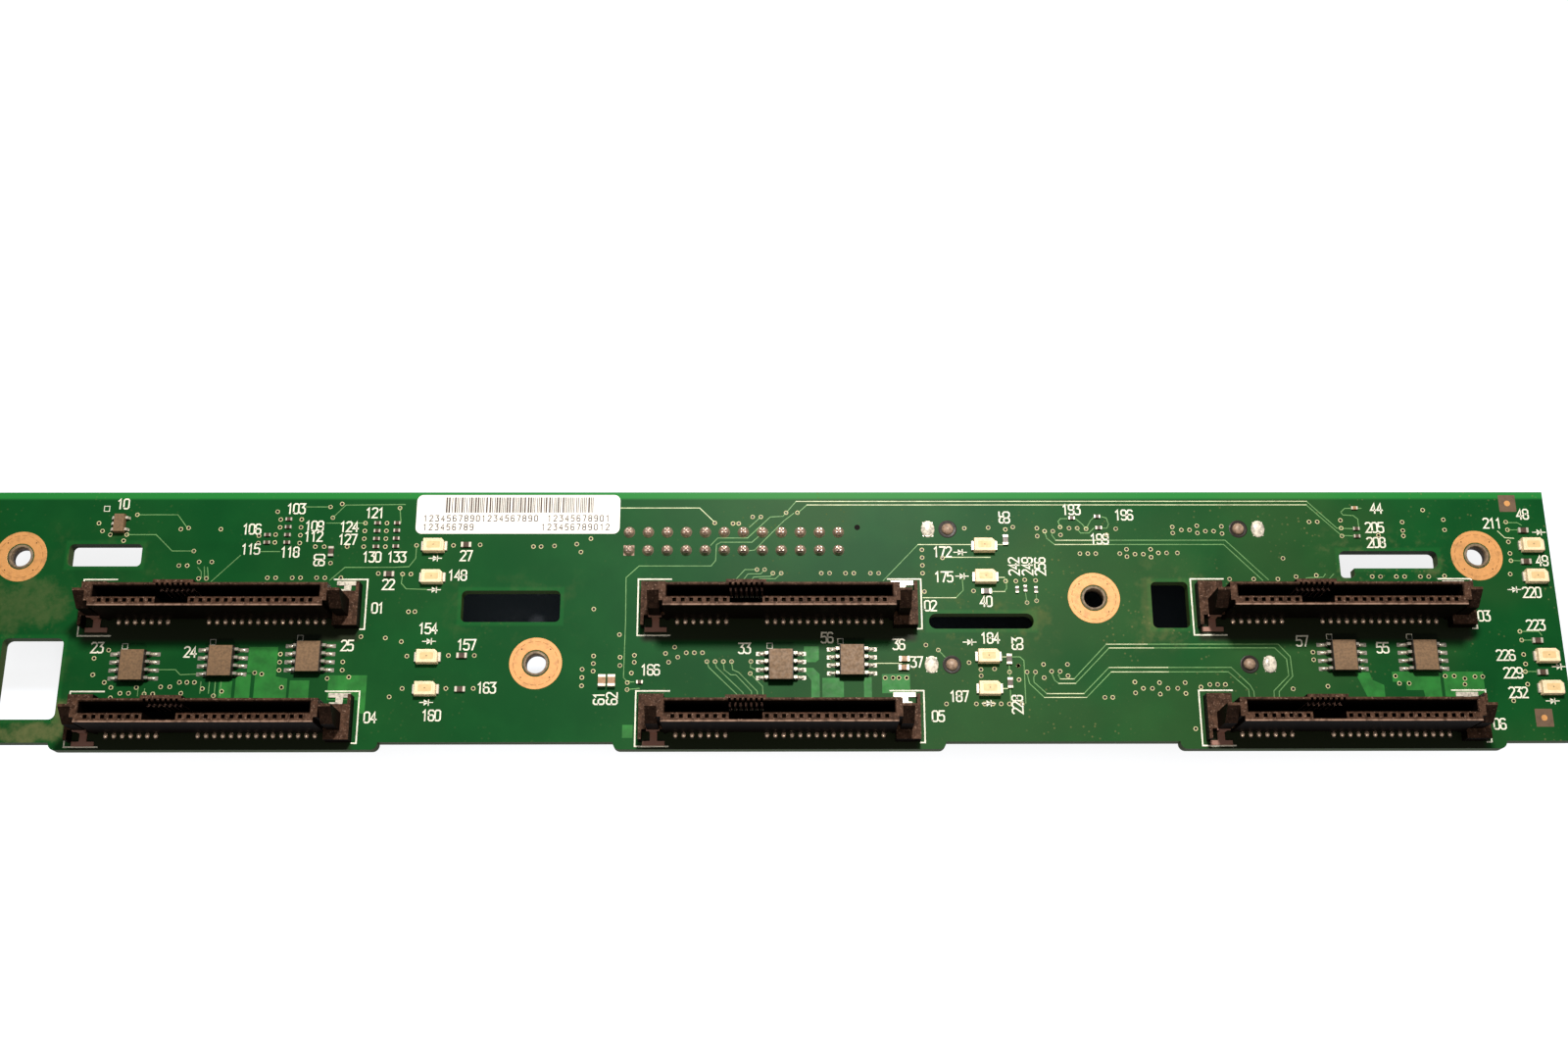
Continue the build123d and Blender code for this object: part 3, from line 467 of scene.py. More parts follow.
def ribbon(line, width, high, slope=0.25):
    """A raised strip along a line, mitred at its bends.

    Each corner is pushed sideways along the mean of its two normals, and the
    section is a low wall with sloped sides and a flat top.
    """
    line = np.array(line, float)
    step = np.diff(line, axis=0)
    step /= np.linalg.norm(step, axis=1, keepdims=True)
    line[0] -= step[0] * width * 0.35
    line[-1] += step[-1] * width * 0.35
    normal = np.stack([-step[:, 1], step[:, 0]], axis=-1)
    before = np.concatenate([normal[:1], normal])
    after = np.concatenate([normal, normal[-1:]])
    mean = before + after
    mean /= np.linalg.norm(mean, axis=1, keepdims=True)
    mean /= np.maximum((mean * before).sum(axis=1, keepdims=True), 0.5)
    side = np.array([-0.5, -0.5 + slope, 0.5 - slope, 0.5]) * width
    flat = line[:, None] + mean[:, None] * side[None, :, None]
    tall = np.broadcast_to(np.array([SINK, high, high, SINK])[None, :, None],
                           flat.shape[:2] + (1,))
    return stacked(np.concatenate([flat, tall], axis=-1)[:, ::-1])


def digit_lines(text, centre, height, pitch, upright=False):
    """The single-line digits of a number, scaled and set in a row about its centre."""
    lines = []
    width = (len(text) - 1) * pitch + height / 2
    turn = np.array([[0, 1], [-1, 0]]) if upright else np.eye(2)
    for place, digit in enumerate(text):
        for stroke in DIGITS[digit]:
            stroke = np.asarray(stroke, float) * height / 4
            stroke += (place * pitch - width / 2, -height / 2)
            lines.append(stroke @ turn + centre)
    return lines


def add_piece(name, shape, material, smooth=False, replaces=()):
    """The shape moved on to the board's front, as a mesh in metres with its finish."""
    points, faces = shape
    mesh = bpy.data.meshes.new(name)
    rows = [row for corners in sorted(faces) for row in faces[corners].tolist()]
    points = (points + (MIDDLE_X, TAIL_ROW_Y, FRONT_Z)) * MM
    mesh.from_pydata(points.tolist(), [], rows)
    mesh.validate()
    mesh.materials.append(material)
    mesh.polygons.foreach_set("use_smooth", [smooth] * len(mesh.polygons))
    mesh.update()
    piece = bpy.data.objects.new(name, mesh)
    bpy.context.scene.collection.objects.link(piece)
    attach(piece, "root")
    if replaces:
        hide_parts(*replaces)
    return piece


def dress(names, material):
    """A finish for solids of the frame, chosen by the start of their names."""
    for name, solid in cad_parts.items():
        if name.startswith(names):
            solid.data.materials.clear()
            solid.data.materials.append(material)


def shade(colour, factor):
    """A colour made darker or lighter."""
    return [min(1.0, part * factor) for part in colour]


def linear(colour, factor=1.0):
    """Screen colour, 0 to 1, times a factor, as the light values that a shader works with."""
    colour = np.asarray(shade(colour, factor), float)
    low = colour / 12.92
    high = ((colour + 0.055) / 1.055) ** 2.4
    return (*np.where(colour <= 0.04045, low, high).tolist(), 1.0)


class Nodes:
    """Short calls for the arithmetic in a node tree."""

    def __init__(self, tree):
        self.tree = tree

    def feed(self, socket, value):
        """Links an output to a socket, or sets the socket's own value."""
        if isinstance(value, bpy.types.NodeSocket):
            self.tree.links.new(value, socket)
        else:
            socket.default_value = value

    def node(self, kind, inputs, **settings):
        """A node with its settings, its inputs fed by name or number, as its outputs."""
        node = self.tree.nodes.new("ShaderNode" + kind)
        for name, value in settings.items():
            setattr(node, name, value)
        for name, value in inputs.items():
            self.feed(node.inputs[name], value)
        return node.outputs

    def math(self, operation, first, second=0.0, clamp=False):
        """One arithmetic step."""
        return self.node("Math", {0: first, 1: second}, operation=operation,
                         use_clamp=clamp)[0]

    def fold(self, operation, values):
        """One value from several, taken two at a time."""
        return reduce(lambda first, second: self.math(operation, first, second), values)

    def times(self, *values):
        """The product of several values."""
        return self.fold("MULTIPLY", values)

    def away(self, value, centre):
        """Distance of a value from a centre."""
        return self.math("ABSOLUTE", self.math("SUBTRACT", value, centre))

    def nearest(self, value, centres):
        """Distance of a value from the nearest of several centres."""
        return self.fold("MINIMUM", [self.away(value, centre) for centre in centres])

    def step(self, value, low, high, first=0.0, last=1.0):
        """Smooth change from first to last as the value goes from low to high."""
        limits = {"Value": value, "From Min": low, "From Max": high, "To Min": first,
                  "To Max": last}
        return self.node("MapRange", limits, interpolation_type="SMOOTHSTEP")["Result"]

    def white_seen(self, glossy_share):
        """1 for the camera's rays, and a share of it for mirrored and transmitted rays."""
        path = self.node("LightPath", {})
        mirrored = self.fold("MAXIMUM", [path["Is Glossy Ray"], path["Is Transmission Ray"]])
        return self.fold("MAXIMUM", [path["Is Camera Ray"], self.times(mirrored, glossy_share)])


class Finish(Nodes):
    """One material made of nodes, with patterns on Object coordinates in millimetres."""

    def __init__(self, name):
        self.material = bpy.data.materials.new(name)
        self.material.use_nodes = True
        super().__init__(self.material.node_tree)
        self.shader = self.tree.nodes["Principled BSDF"]
        coordinates = self.node("TexCoord", {})
        scaled = {0: coordinates["Object"], "Scale": 1 / MM}
        self.place = self.node("VectorMath", scaled, operation="SCALE")[0]
        self.normal = coordinates["Normal"]

    def axes(self, source=None):
        """The three parts of a place or a normal."""
        return self.node("SeparateXYZ", {0: source or self.place})[:]

    def noise(self, size, detail=3.0, roughness=0.55):
        """Cloudy pattern whose features are about size millimetres across."""
        return self.node("TexNoise", {"Vector": self.place, "Scale": 1 / size,
                                      "Detail": detail, "Roughness": roughness})["Fac"]

    def cells(self, size):
        """Distance to scattered points about size millimetres apart."""
        return self.node("TexVoronoi", {"Vector": self.place, "Scale": 1 / size})["Distance"]

    def cloud(self, size, low, high, detail=4.0, roughness=0.6, first=0.0, last=1.0):
        """Smooth change from first to last where a cloudy pattern goes from low to high."""
        return self.step(self.noise(size, detail, roughness), low, high, first, last)

    def blend(self, share, first, second):
        """Two colours mixed by a share."""
        colours = {"Factor": share, "A": first, "B": second}
        return self.node("Mix", colours, data_type="RGBA")["Result"]

    def two_tone(self, share, colour, factor):
        """A colour that goes over into its darker or lighter tone."""
        return self.blend(share, linear(colour), linear(colour, factor))

    def surface(self, colour, roughness, gloss=0.5, metal=0.0):
        """Sets colour, roughness, gloss and metal, each a value or an output."""
        values = {"Base Color": colour, "Roughness": roughness, "Metallic": metal,
                  "Specular IOR Level": gloss}
        for name, value in values.items():
            self.feed(self.shader.inputs[name], value)
        return self.material

    def bump(self, height, strength, depth=0.02):
        """Relief from a pattern, with depth in millimetres."""
        relief = self.node("Bump", {"Strength": strength, "Distance": depth * MM,
                                    "Height": height})
        self.feed(self.shader.inputs["Normal"], relief["Normal"])


def colour_property(name, description, value):
    """A colour in screen values, from 0 to 255."""
    return bpy.props.FloatVectorProperty(name=name, description=description, size=3, min=0,
                                         max=1, subtype="COLOR_GAMMA",
                                         default=[part / 255 for part in value])


def length_property(name, description, value):
    """A length, given in millimetres and kept in metres."""
    return bpy.props.FloatProperty(name=name, description=description, default=value * MM,
                                   min=0, unit="LENGTH", precision=5)


def place_property(name, description, value, subtype="TRANSLATION"):
    """A place in metres, or a turn."""
    return bpy.props.FloatVectorProperty(name=name, description=description, default=value,
                                         subtype=subtype)


def number_property(name, description, value, **limits):
    """A plain number that isn't below nought."""
    return bpy.props.FloatProperty(name=name, description=description, default=value, min=0,
                                   **limits)


class BackplaneBoardLook(bpy.types.PropertyGroup):
    mask: colour_property("Mask", "Green solder mask", (8, 68, 28))
    mask_light: colour_property("Light mask", "Mask where it is thin or dusty", (28, 96, 42))
    edge_band: colour_property("Edge band", "Mask over bare laminate at the long edges",
                               (36, 122, 54))
    laminate: colour_property("Laminate", "Cut edges of the board", (66, 84, 44))
    pour: colour_property("Copper area", "Mask over copper areas", (42, 122, 50))
    dust: colour_property("Dust", "Dust that settled on the board", (122, 118, 78))
    # Painted shade: a dark tone laid on the board and its copper beneath and below each drive
    # socket
    deep_shade: colour_property("Deep shade", "Grime on the lower side of the sockets",
                                (34, 34, 25))
    # Painted reflection: the near-white tone of the thin tracks
    track_bright: colour_property("Bright tracks", "Thin tracks that catch the light",
                                  (214, 222, 178))
    track_dull: colour_property("Dull tracks", "Tracks under the mask", (112, 156, 98))
    copper: colour_property("Copper", "Screw rings and bare copper", (208, 148, 86))
    worn_plating: colour_property("Worn plating", "Rims of the screw holes", (132, 112, 88))
    via: colour_property("Plated hole", "Rim of a plated hole", (214, 204, 158))
    band_width: length_property("Band width", "Width of the lighter band at the edge", 1.1)
    track_width: length_property("Track width", "Width of the copper tracks", 0.2)
    via_radius: length_property("Hole rim", "Radius of a plated hole's rim", 0.36)
    ring_radius: length_property("Ring radius", "Radius of the copper screw rings", 4.09)


class BackplanePrintLook(bpy.types.PropertyGroup):
    ink: colour_property("Ink", "White print", (244, 240, 222))
    paper: colour_property("Paper", "Label", (250, 247, 240))
    label_ink: colour_property("Label ink", "Faded print on the label", (58, 40, 30))
    line_width: length_property("Line width", "Width of the socket outlines", 0.3)
    digit_height: length_property("Digit height", "Height of the printed numbers", 1.6)
    digit_pitch: length_property("Digit pitch", "From one printed digit to the next", 0.99)
    digit_stroke: length_property("Digit stroke", "Width of the digits' lines", 0.27)


class BackplanePartLook(bpy.types.PropertyGroup):
    housing: colour_property("Housing", "Black moulded sockets", (12, 7, 5))
    # Painted sheen with dust: the lighter tone of the sockets' up-facing faces
    housing_face: colour_property("Housing face", "Worn and dusty faces of the sockets",
                                  (86, 62, 49))
    window_rim: length_property("Window rim", "Width of the dark rim round a window", 0.05)
    # Painted highlight: the colour of the glints and of the bright lower lip of the slot's face
    housing_edge: colour_property("Housing edge", "Rubbed lower edge of the slot's face",
                                  (150, 122, 106))
    chip: colour_property("Chip", "Moulded chips", (126, 98, 70))
    tin: colour_property("Tin", "Bright tin and solder", (236, 226, 208))
    pin_solder: colour_property("Pin solder", "Dull solder round the header's pins",
                                (206, 174, 156))
    tail_joint: colour_property("Tail joint", "Solder at the ends of the socket tails",
                                (255, 222, 196))
    second_contact: colour_property("Second contact", "Contacts of the second port",
                                    (214, 168, 150))
    # Painted shade: the nails' dark tone on the sockets' lower side
    stained_nail: colour_property("Stained nail", "Nails on the sockets' lower side",
                                  (140, 100, 86))
    peg: colour_property("Peg", "Ends of the signal sockets' pegs", (168, 140, 118))
    gold: colour_property("Contact", "Plated contacts", (206, 178, 128))
    light: colour_property("Light", "Status light mouldings", (248, 222, 182))
    light_window: colour_property("Light window", "Middle of a status light", (228, 194, 140))
    resistor: colour_property("Resistor", "Glazed resistor tops", (86, 68, 54))
    capacitor: colour_property("Capacitor", "Fired capacitor bodies", (168, 128, 92))


class BackplaneStageLook(bpy.types.PropertyGroup):
    floor: colour_property("Floor", "Floor colour", (112, 120, 136))
    shade_reach: length_property("Shade reach", "How far the board darkens the floor", 26)
    lamp_power: number_property("Lamp power", "Main lamp", 1.75, unit="POWER")
    lamp_place: place_property("Lamp place", "Above the top edge", (0.030, 0.150, 0.330))
    lamp_size: length_property("Lamp size", "Across the main lamp", 50)
    low_lamp_power: number_property("Low lamp power", "Weak lamp below the board, for glints",
                                    0.16, unit="POWER")
    low_lamp_place: place_property("Low lamp place", "Beside the camera", (0.0, -0.20, 0.22))
    low_lamp_size: length_property("Low lamp size", "Across the low lamp", 20)
    fill: number_property("Fill", "Light from all round", 0.16)
    glossy_share: number_property("Glossy share", "How much of the white shows in metal", 0.4,
                                  max=1, subtype="FACTOR")
    camera_place: place_property("Camera place", "Where the photographer stood",
                                 (0.00317, -0.07177, 0.27917))
    camera_turn: place_property("Camera turn", "Camera angles",
                                (radians(18.07), radians(-0.39), radians(-0.15)), "EULER")
    lens: number_property("Lens", "Focal length in millimetres", 40.77)


def under_sockets(finish):
    """Share of 1 in the deep shade beneath and on the lower side of each drive socket."""
    x, y = finish.axes()[:2]
    rows = []
    for row in ROWS:
        above = finish.math("SUBTRACT", y, TAIL_ROW_Y + row)
        rows.append(finish.times(finish.step(above, *SHADE_BELOW, 0.0, 0.9),
                                 finish.step(above, *SHADE_ABOVE, 1.0, 0.0)))
    beside = finish.nearest(x, [MIDDLE_X + bay for bay in BAYS])
    return finish.times(finish.fold("MAXIMUM", rows), finish.step(beside, *SHADE_BESIDE, 1.0, 0.0))


def from_openings(finish, x, y):
    """Distance from the nearest opening's edge, the larger of the ones along X and Y."""
    gaps = []
    for low_x, high_x, low_y, high_y in OPENINGS:
        off_x = finish.away(x, MIDDLE_X + (low_x + high_x) / 2)
        off_y = finish.away(y, TAIL_ROW_Y + (low_y + high_y) / 2)
        gaps.append(finish.math("MAXIMUM", finish.math("SUBTRACT", off_x, (high_x - low_x) / 2),
                                finish.math("SUBTRACT", off_y, (high_y - low_y) / 2)))
    return finish.fold("MINIMUM", gaps)


def dust_patches(finish, x, y):
    """Ragged ovals of dust: share falls with the squared distance plus a cloudy pattern."""
    ragged = finish.times(finish.math("SUBTRACT", finish.noise(3.2, 5.0, 0.65), 0.5), 4.0)
    heaps = []
    for patch_x, patch_y, half_x, half_y, most in DUST_PATCHES:
        off_x = finish.math("DIVIDE", finish.math("SUBTRACT", x, MIDDLE_X + patch_x), half_x)
        off_y = finish.math("DIVIDE", finish.math("SUBTRACT", y, TAIL_ROW_Y + patch_y), half_y)
        away = finish.fold("ADD", [finish.times(off_x, off_x), finish.times(off_y, off_y), ragged])
        heaps.append(finish.step(away, 0.1, 1.3, most, 0.0))
    return finish.times(finish.fold("MAXIMUM", heaps),
                        finish.cloud(0.9, 0.3, 0.65, 5.0, 0.7, 0.6, 1.0))


def board_finish(look):
    """Green mask with clouds, dust by the openings, a light band, cut laminate edges, dust with a
    painted sheen growing to the right, and painted shade under the sockets.
    """
    finish = Finish("green_mask")
    x, y = finish.axes()[:2]
    thin = [0.75 * dark + 0.25 * light for dark, light in zip(look.mask, look.mask_light)]
    base = finish.blend(finish.cloud(9.0, 0.35, 0.75, 4.0, 0.55), linear(look.mask),
                        linear(thin))
    rim = from_openings(finish, x, y)
    base = finish.blend(finish.step(rim, 0.35, 0.8, 0.16, 0.0), base, linear(look.edge_band))
    from_top = finish.math("SUBTRACT", TAIL_ROW_Y + BOARD_TOP_Y, y)
    edge = look.band_width / MM
    band = finish.step(from_top, edge - 0.3, edge + 0.3, 1.0, 0.0)
    base = finish.blend(band, base, linear(look.edge_band))
    # Dust that thickens from left to right: real dust, and a painted sheen for the board's
    # lighter, hazier right side
    dust_and_sheen_by_side = finish.step(x, MIDDLE_X - 30, MIDDLE_X + 25, 0.25, 1.0)
    grime = finish.times(finish.step(rim, 0.0, 5.0, 1.0, 0.0),
                         finish.cloud(2.6, 0.48, 0.72, 5.0, 0.65), dust_and_sheen_by_side, 0.3)
    wide_dust_and_sheen = finish.times(finish.cloud(26.0, 0.4, 0.65, 2.0, 0.55), dust_and_sheen_by_side, 0.07)
    coarse = finish.times(finish.step(finish.cells(0.9), 0.13, 0.22, 1.0, 0.0),
                          finish.cloud(7.0, 0.5, 0.66, 3.0, 0.55))
    fine = finish.times(finish.cloud(0.28, 0.66, 0.76, 2.0, 0.6),
                        finish.cloud(19.0, 0.42, 0.6, 3.0, 0.55, 0.04, 0.42))
    specks = finish.times(finish.math("ADD", coarse, fine, clamp=True), dust_and_sheen_by_side, 0.4)
    # These shares carry real dust and the painted sheen of the left-to-right gradient
    dusty = finish.fold("ADD", [grime, wide_dust_and_sheen, dust_patches(finish, x, y)])
    facing = finish.axes(finish.normal)[2]
    front = finish.step(facing, 0.4, 0.6)
    dusty = finish.times(finish.math("ADD", dusty, specks, clamp=True), front)
    base = finish.blend(dusty, base, linear(look.dust))
    # Painted shade beneath and below each drive socket, on the front faces
    base = finish.blend(finish.times(under_sockets(finish), front), base,
                        linear(look.deep_shade))
    side = finish.step(finish.math("ABSOLUTE", facing), 0.4, 0.6, 1.0, 0.0)
    finish.bump(finish.noise(0.35, 2.0), 0.15)
    return finish.surface(finish.blend(side, base, linear(look.laminate)),
                          finish.step(dusty, 0.0, 0.5, 0.42, 0.75), gloss=0.06)


def mask_finish(name, colour, shine=0.35):
    """Solder mask or copper under the mask, mottled, and darkened by painted shade beneath and
    below the sockets.
    """
    finish = Finish(name)
    tone = finish.two_tone(finish.cloud(1.8, 0.3, 0.75, 4.0, 0.55), colour, 0.82)
    return finish.surface(finish.blend(under_sockets(finish), tone, linear(colour, 0.25)),
                          finish.cloud(0.8, 0.3, 0.7, 2.0, 0.55, shine, shine + 0.15), gloss=0.15)


def copper_finish(name, colour):
    """Bare tinned copper with fine bright wear and darker stains."""
    finish = Finish(name)
    fine = finish.noise(0.16, 2.0)
    tone = finish.two_tone(finish.cloud(1.1, 0.45, 0.75, 5.0), colour, 0.84)
    tone = finish.blend(finish.step(fine, 0.58, 0.7, 0.0, 0.4), tone, linear(colour, 1.12))
    finish.bump(fine, 0.25, 0.01)
    return finish.surface(tone, finish.step(fine, 0.2, 0.8, 0.38, 0.6), metal=0.15)


def tin_finish(name, colour, size=0.5):
    """Bright tin or solder with small dull patches."""
    finish = Finish(name)
    dull = finish.cloud(size, 0.4, 0.7)
    finish.bump(finish.noise(size / 2, 3.0), 0.3)
    return finish.surface(finish.two_tone(dull, colour, 0.72),
                          finish.step(dull, 0.0, 1.0, 0.28, 0.5), metal=0.55)


def housing_finish(look):
    """Black moulding whose up-facing faces are greyed by wear, dust and a painted sheen, with
    painted glints and a painted highlight on the slot's lower lip.
    """
    finish = Finish("socket_moulding")
    y, height = finish.axes()[1:]
    # Up-facing faces take the lighter tone: dust and wear, and a painted sheen
    top = finish.times(finish.step(finish.axes(finish.normal)[2], 0.55, 0.9),
                       finish.step(height, FRONT_Z + 1.7, FRONT_Z + 2.2))
    worn = finish.cloud(0.9, 0.35, 0.68, 5.0, 0.7, 0.32, 1.0)
    grit = finish.step(finish.cells(0.34), 0.1, 0.2, 0.7, 0.0)
    share = finish.times(top, finish.math("ADD", worn, grit, clamp=True))
    tone = finish.blend(share, linear(look.housing), linear(look.housing_face))
    # Painted glints on the up-facing faces
    glint = finish.times(top, finish.cloud(0.3, 0.56, 0.72, 3.0, 0.7), 0.75)
    tone = finish.blend(glint, tone, linear(look.housing_edge))
    # Painted highlight along the top of the slot's lower wall
    lower_edge = finish.nearest(y, [TAIL_ROW_Y + row + 0.36 for row in ROWS])
    lip_highlight = finish.times(finish.step(lower_edge, 0.1, 0.2, 1.0, 0.0),
                       finish.step(height, FRONT_Z + 8.75, FRONT_Z + 8.9),
                       finish.cloud(0.9, 0.3, 0.6, 3.0, 0.55, 0.3, 1.0))
    finish.bump(finish.noise(0.12, 2.0), 0.2)
    return finish.surface(finish.blend(lip_highlight, tone, linear(look.housing_edge)),
                          finish.step(share, 0.0, 1.0, 0.5, 0.46), gloss=0.03)


def dark_finish(name, colour):
    """Flat dark plastic that shows no glints."""
    finish = Finish(name)
    return finish.surface(finish.two_tone(finish.cloud(0.6, 0.4, 0.6, 2.0, 0.55), colour, 0.6),
                          0.9, gloss=0.0)


def nail_finish(look):
    """Bright tin on the sockets' upper side, darkened by painted shade on their lower side."""
    finish = Finish("nail_tin")
    y = finish.axes()[1]
    # Painted shade on the nails beside the sockets' lower side
    below = finish.nearest(y, [TAIL_ROW_Y + row - 1.5 for row in ROWS])
    nail_shade = finish.step(below, 2.4, 3.0, 1.0, 0.0)
    clean = finish.two_tone(finish.cloud(0.5, 0.4, 0.7), look.tin, 0.72)
    finish.bump(finish.noise(0.25, 3.0), 0.3)
    return finish.surface(finish.blend(nail_shade, clean, linear(look.stained_nail)),
                          finish.step(nail_shade, 0.0, 1.0, 0.3, 0.5),
                          metal=finish.step(nail_shade, 0.0, 1.0, 0.55, 0.2))


def plastic_finish(name, colour, factor, size, rough=0.5, relief=0.2):
    """Moulded plastic in a colour and its darker or lighter tone, with a fine grain."""
    finish = Finish(name)
    finish.bump(finish.noise(size / 2, 2.0), relief)
    return finish.surface(finish.two_tone(finish.cloud(size, 0.35, 0.7), colour, factor),
                          finish.cloud(size * 2, 0.3, 0.7, 2.0, 0.55, rough - 0.06, rough + 0.1),
                          gloss=0.4)


def chip_finish(look):
    """Moulded chips whose sloped long sides and lower sides are darkened by painted shade."""
    finish = Finish("chip_moulding")
    x, height = finish.axes()[::2]
    # Painted shade: the sloped long sides and the lower sides of the bodies go dark
    beside = finish.nearest(x, [MIDDLE_X + place[0] for place in SWITCHES])
    slope = finish.times(finish.step(beside, 1.72, 1.8), finish.step(beside, 2.2, 2.3, 1.0, 0.0))
    low = finish.step(height, FRONT_Z + 1.3, FRONT_Z + 1.5, 1.0, 0.0)
    tone = finish.two_tone(finish.cloud(0.35, 0.35, 0.7), look.chip, 0.8)
    finish.bump(finish.noise(0.18, 2.0), 0.4)
    return finish.surface(finish.blend(finish.math("MAXIMUM", slope, low), tone,
                                       linear(look.chip, 0.28)),
                          finish.cloud(0.7, 0.3, 0.7, 2.0, 0.55, 0.49, 0.65), gloss=0.35)


class BACKPLANE_OT_board(bpy.types.Operator):
    """Mask on the board, copper areas under it, fiducials and the screw rings"""
    bl_idname = "backplane.board"
    bl_label = "Board surface"

    def execute(self, context):
        look = context.scene.backplane_board
        dress("board", board_finish(look))
        add_piece("copper_areas", join([patch(outline, POUR_HEIGHT) for outline in POURS]),
                  mask_finish("mask_over_copper", look.pour))
        inner = HOLE_RADIUS + 0.02
        outer = look.ring_radius / MM
        ring = turned([(inner, -0.01), (RING_INNER, -0.01), (RING_INNER + 0.08, COPPER_HEIGHT),
                       (outer - 0.04, COPPER_HEIGHT), (outer, 0.0), (outer, SINK),
                       (inner, SINK)], 64)
        rings = join([tile(on_side(ring, side), SCREWS) for side in ("front", "back")])
        add_piece("screw_rings", rings, copper_finish("screw_ring_copper", look.copper))
        barrel = turned([(HOLE_RADIUS, 0.0), (LAND_RADIUS, 0.0), (LAND_RADIUS, 0.012),
                         (HOLE_RADIUS, 0.012), (PLATING_RADIUS, 0.0),
                         (PLATING_RADIUS, -BOARD_THICKNESS),
                         (HOLE_RADIUS, -BOARD_THICKNESS)], 48)
        add_piece("screw_hole_plating", tile(barrel, SCREWS),
                  plastic_finish("hole_plating", look.worn_plating, 0.7, 0.5),
                  smooth=True)
        dashes = []
        for dash in range(WEAR_DASHES):
            turns = (dash + np.array([0.0, 0.3, 0.6])) * 2 * np.pi / WEAR_DASHES
            line = WEAR_RADIUS * np.column_stack([np.cos(turns), np.sin(turns)])
            dashes.append(ribbon(line, 0.14, COPPER_HEIGHT + 0.01))
        add_piece("ring_wear_lines", tile(join(dashes), SCREWS),
                  mask_finish("ring_wear", shade(look.copper, 0.82)))
        turns = np.pi / 4 + np.arange(4) * np.pi / 2
        marks = [(x + DIMPLE_RADIUS * np.cos(turn), y + DIMPLE_RADIUS * np.sin(turn))
                 for x, y in SCREWS for turn in turns]
        add_piece("ring_dimples", tile(dome(0.12, 0.12, 0.02, 8, 3), marks, COPPER_HEIGHT),
                  mask_finish("ring_dimple", shade(look.copper, 0.45)))
        square = layered(rounded(*CLEARING_SIZE, 0.08, 2), [(0, SINK), (0, 0.008)])
        dot = layered(round_points(FIDUCIAL_RADIUS, 24), [(0, 0), (0.02, COPPER_HEIGHT)])
        for name, shape, tone in (("fiducial_clearings", square, CLEARING_COLOUR),
                                  ("fiducial_dots", dot, look.copper)):
            add_piece(name, tile(shape, FIDUCIALS), copper_finish(name, tone))
        return {"FINISHED"}


class BACKPLANE_OT_tracks(bpy.types.Operator):
    """Copper tracks and the plated holes between them"""
    bl_idname = "backplane.tracks"
    bl_label = "Tracks and plated holes"

    def execute(self, context):
        look = context.scene.backplane_board
        right_port = [[(x + BAYS[2] + 0.3, y - 0.2) for x, y in line]
                      for line in SECOND_PORT_TRACKS[2:]]
        dull_lines = DULL_TRACKS + SECOND_PORT_TRACKS + LOWER_PORT_TRACKS + right_port
        for name, lines, high, colour, shine in (
                ("bright_track", BRIGHT_TRACKS, TRACK_HEIGHT, look.track_bright, 0.3),
                ("dull_track", dull_lines, DULL_TRACK_HEIGHT, look.track_dull, 0.35)):
            shapes = [ribbon(line, look.track_width / MM, high) for line in lines]
            add_piece(name + "s", join(shapes), mask_finish(name, colour, shine))
        places = list(LONE_VIAS)
        for x, y, count, step in VIA_ROWS:
            places += [(x + n * step, y) for n in range(count)]
        for x, y, count, step in VIA_COLUMNS:
            places += [(x, y + n * step) for n in range(count)]
        radius = look.via_radius / MM
        rim = turned([(0.22, 0.0), (0.24, COPPER_HEIGHT), (radius - 0.04, COPPER_HEIGHT),
                      (radius, 0.0), (radius, SINK), (0.22, SINK)], 14)
        plug = layered(round_points(0.23, 10), [(0, -0.01), (0, POUR_HEIGHT)])
        for side in ("front", "back"):
            for start, shape, colour, shine, slot in (
                    ("plated_hole_rims_", rim, look.via, 0.45, "bright_tin"),
                    ("plated_hole_shadows_", plug, HOLE_SHADOW_COLOUR, 0.35, "board_laminate")):
                add_piece(start + side, tile(on_side(shape, side), places),
                          mask_finish(start + side, colour, shine))
        return {"FINISHED"}


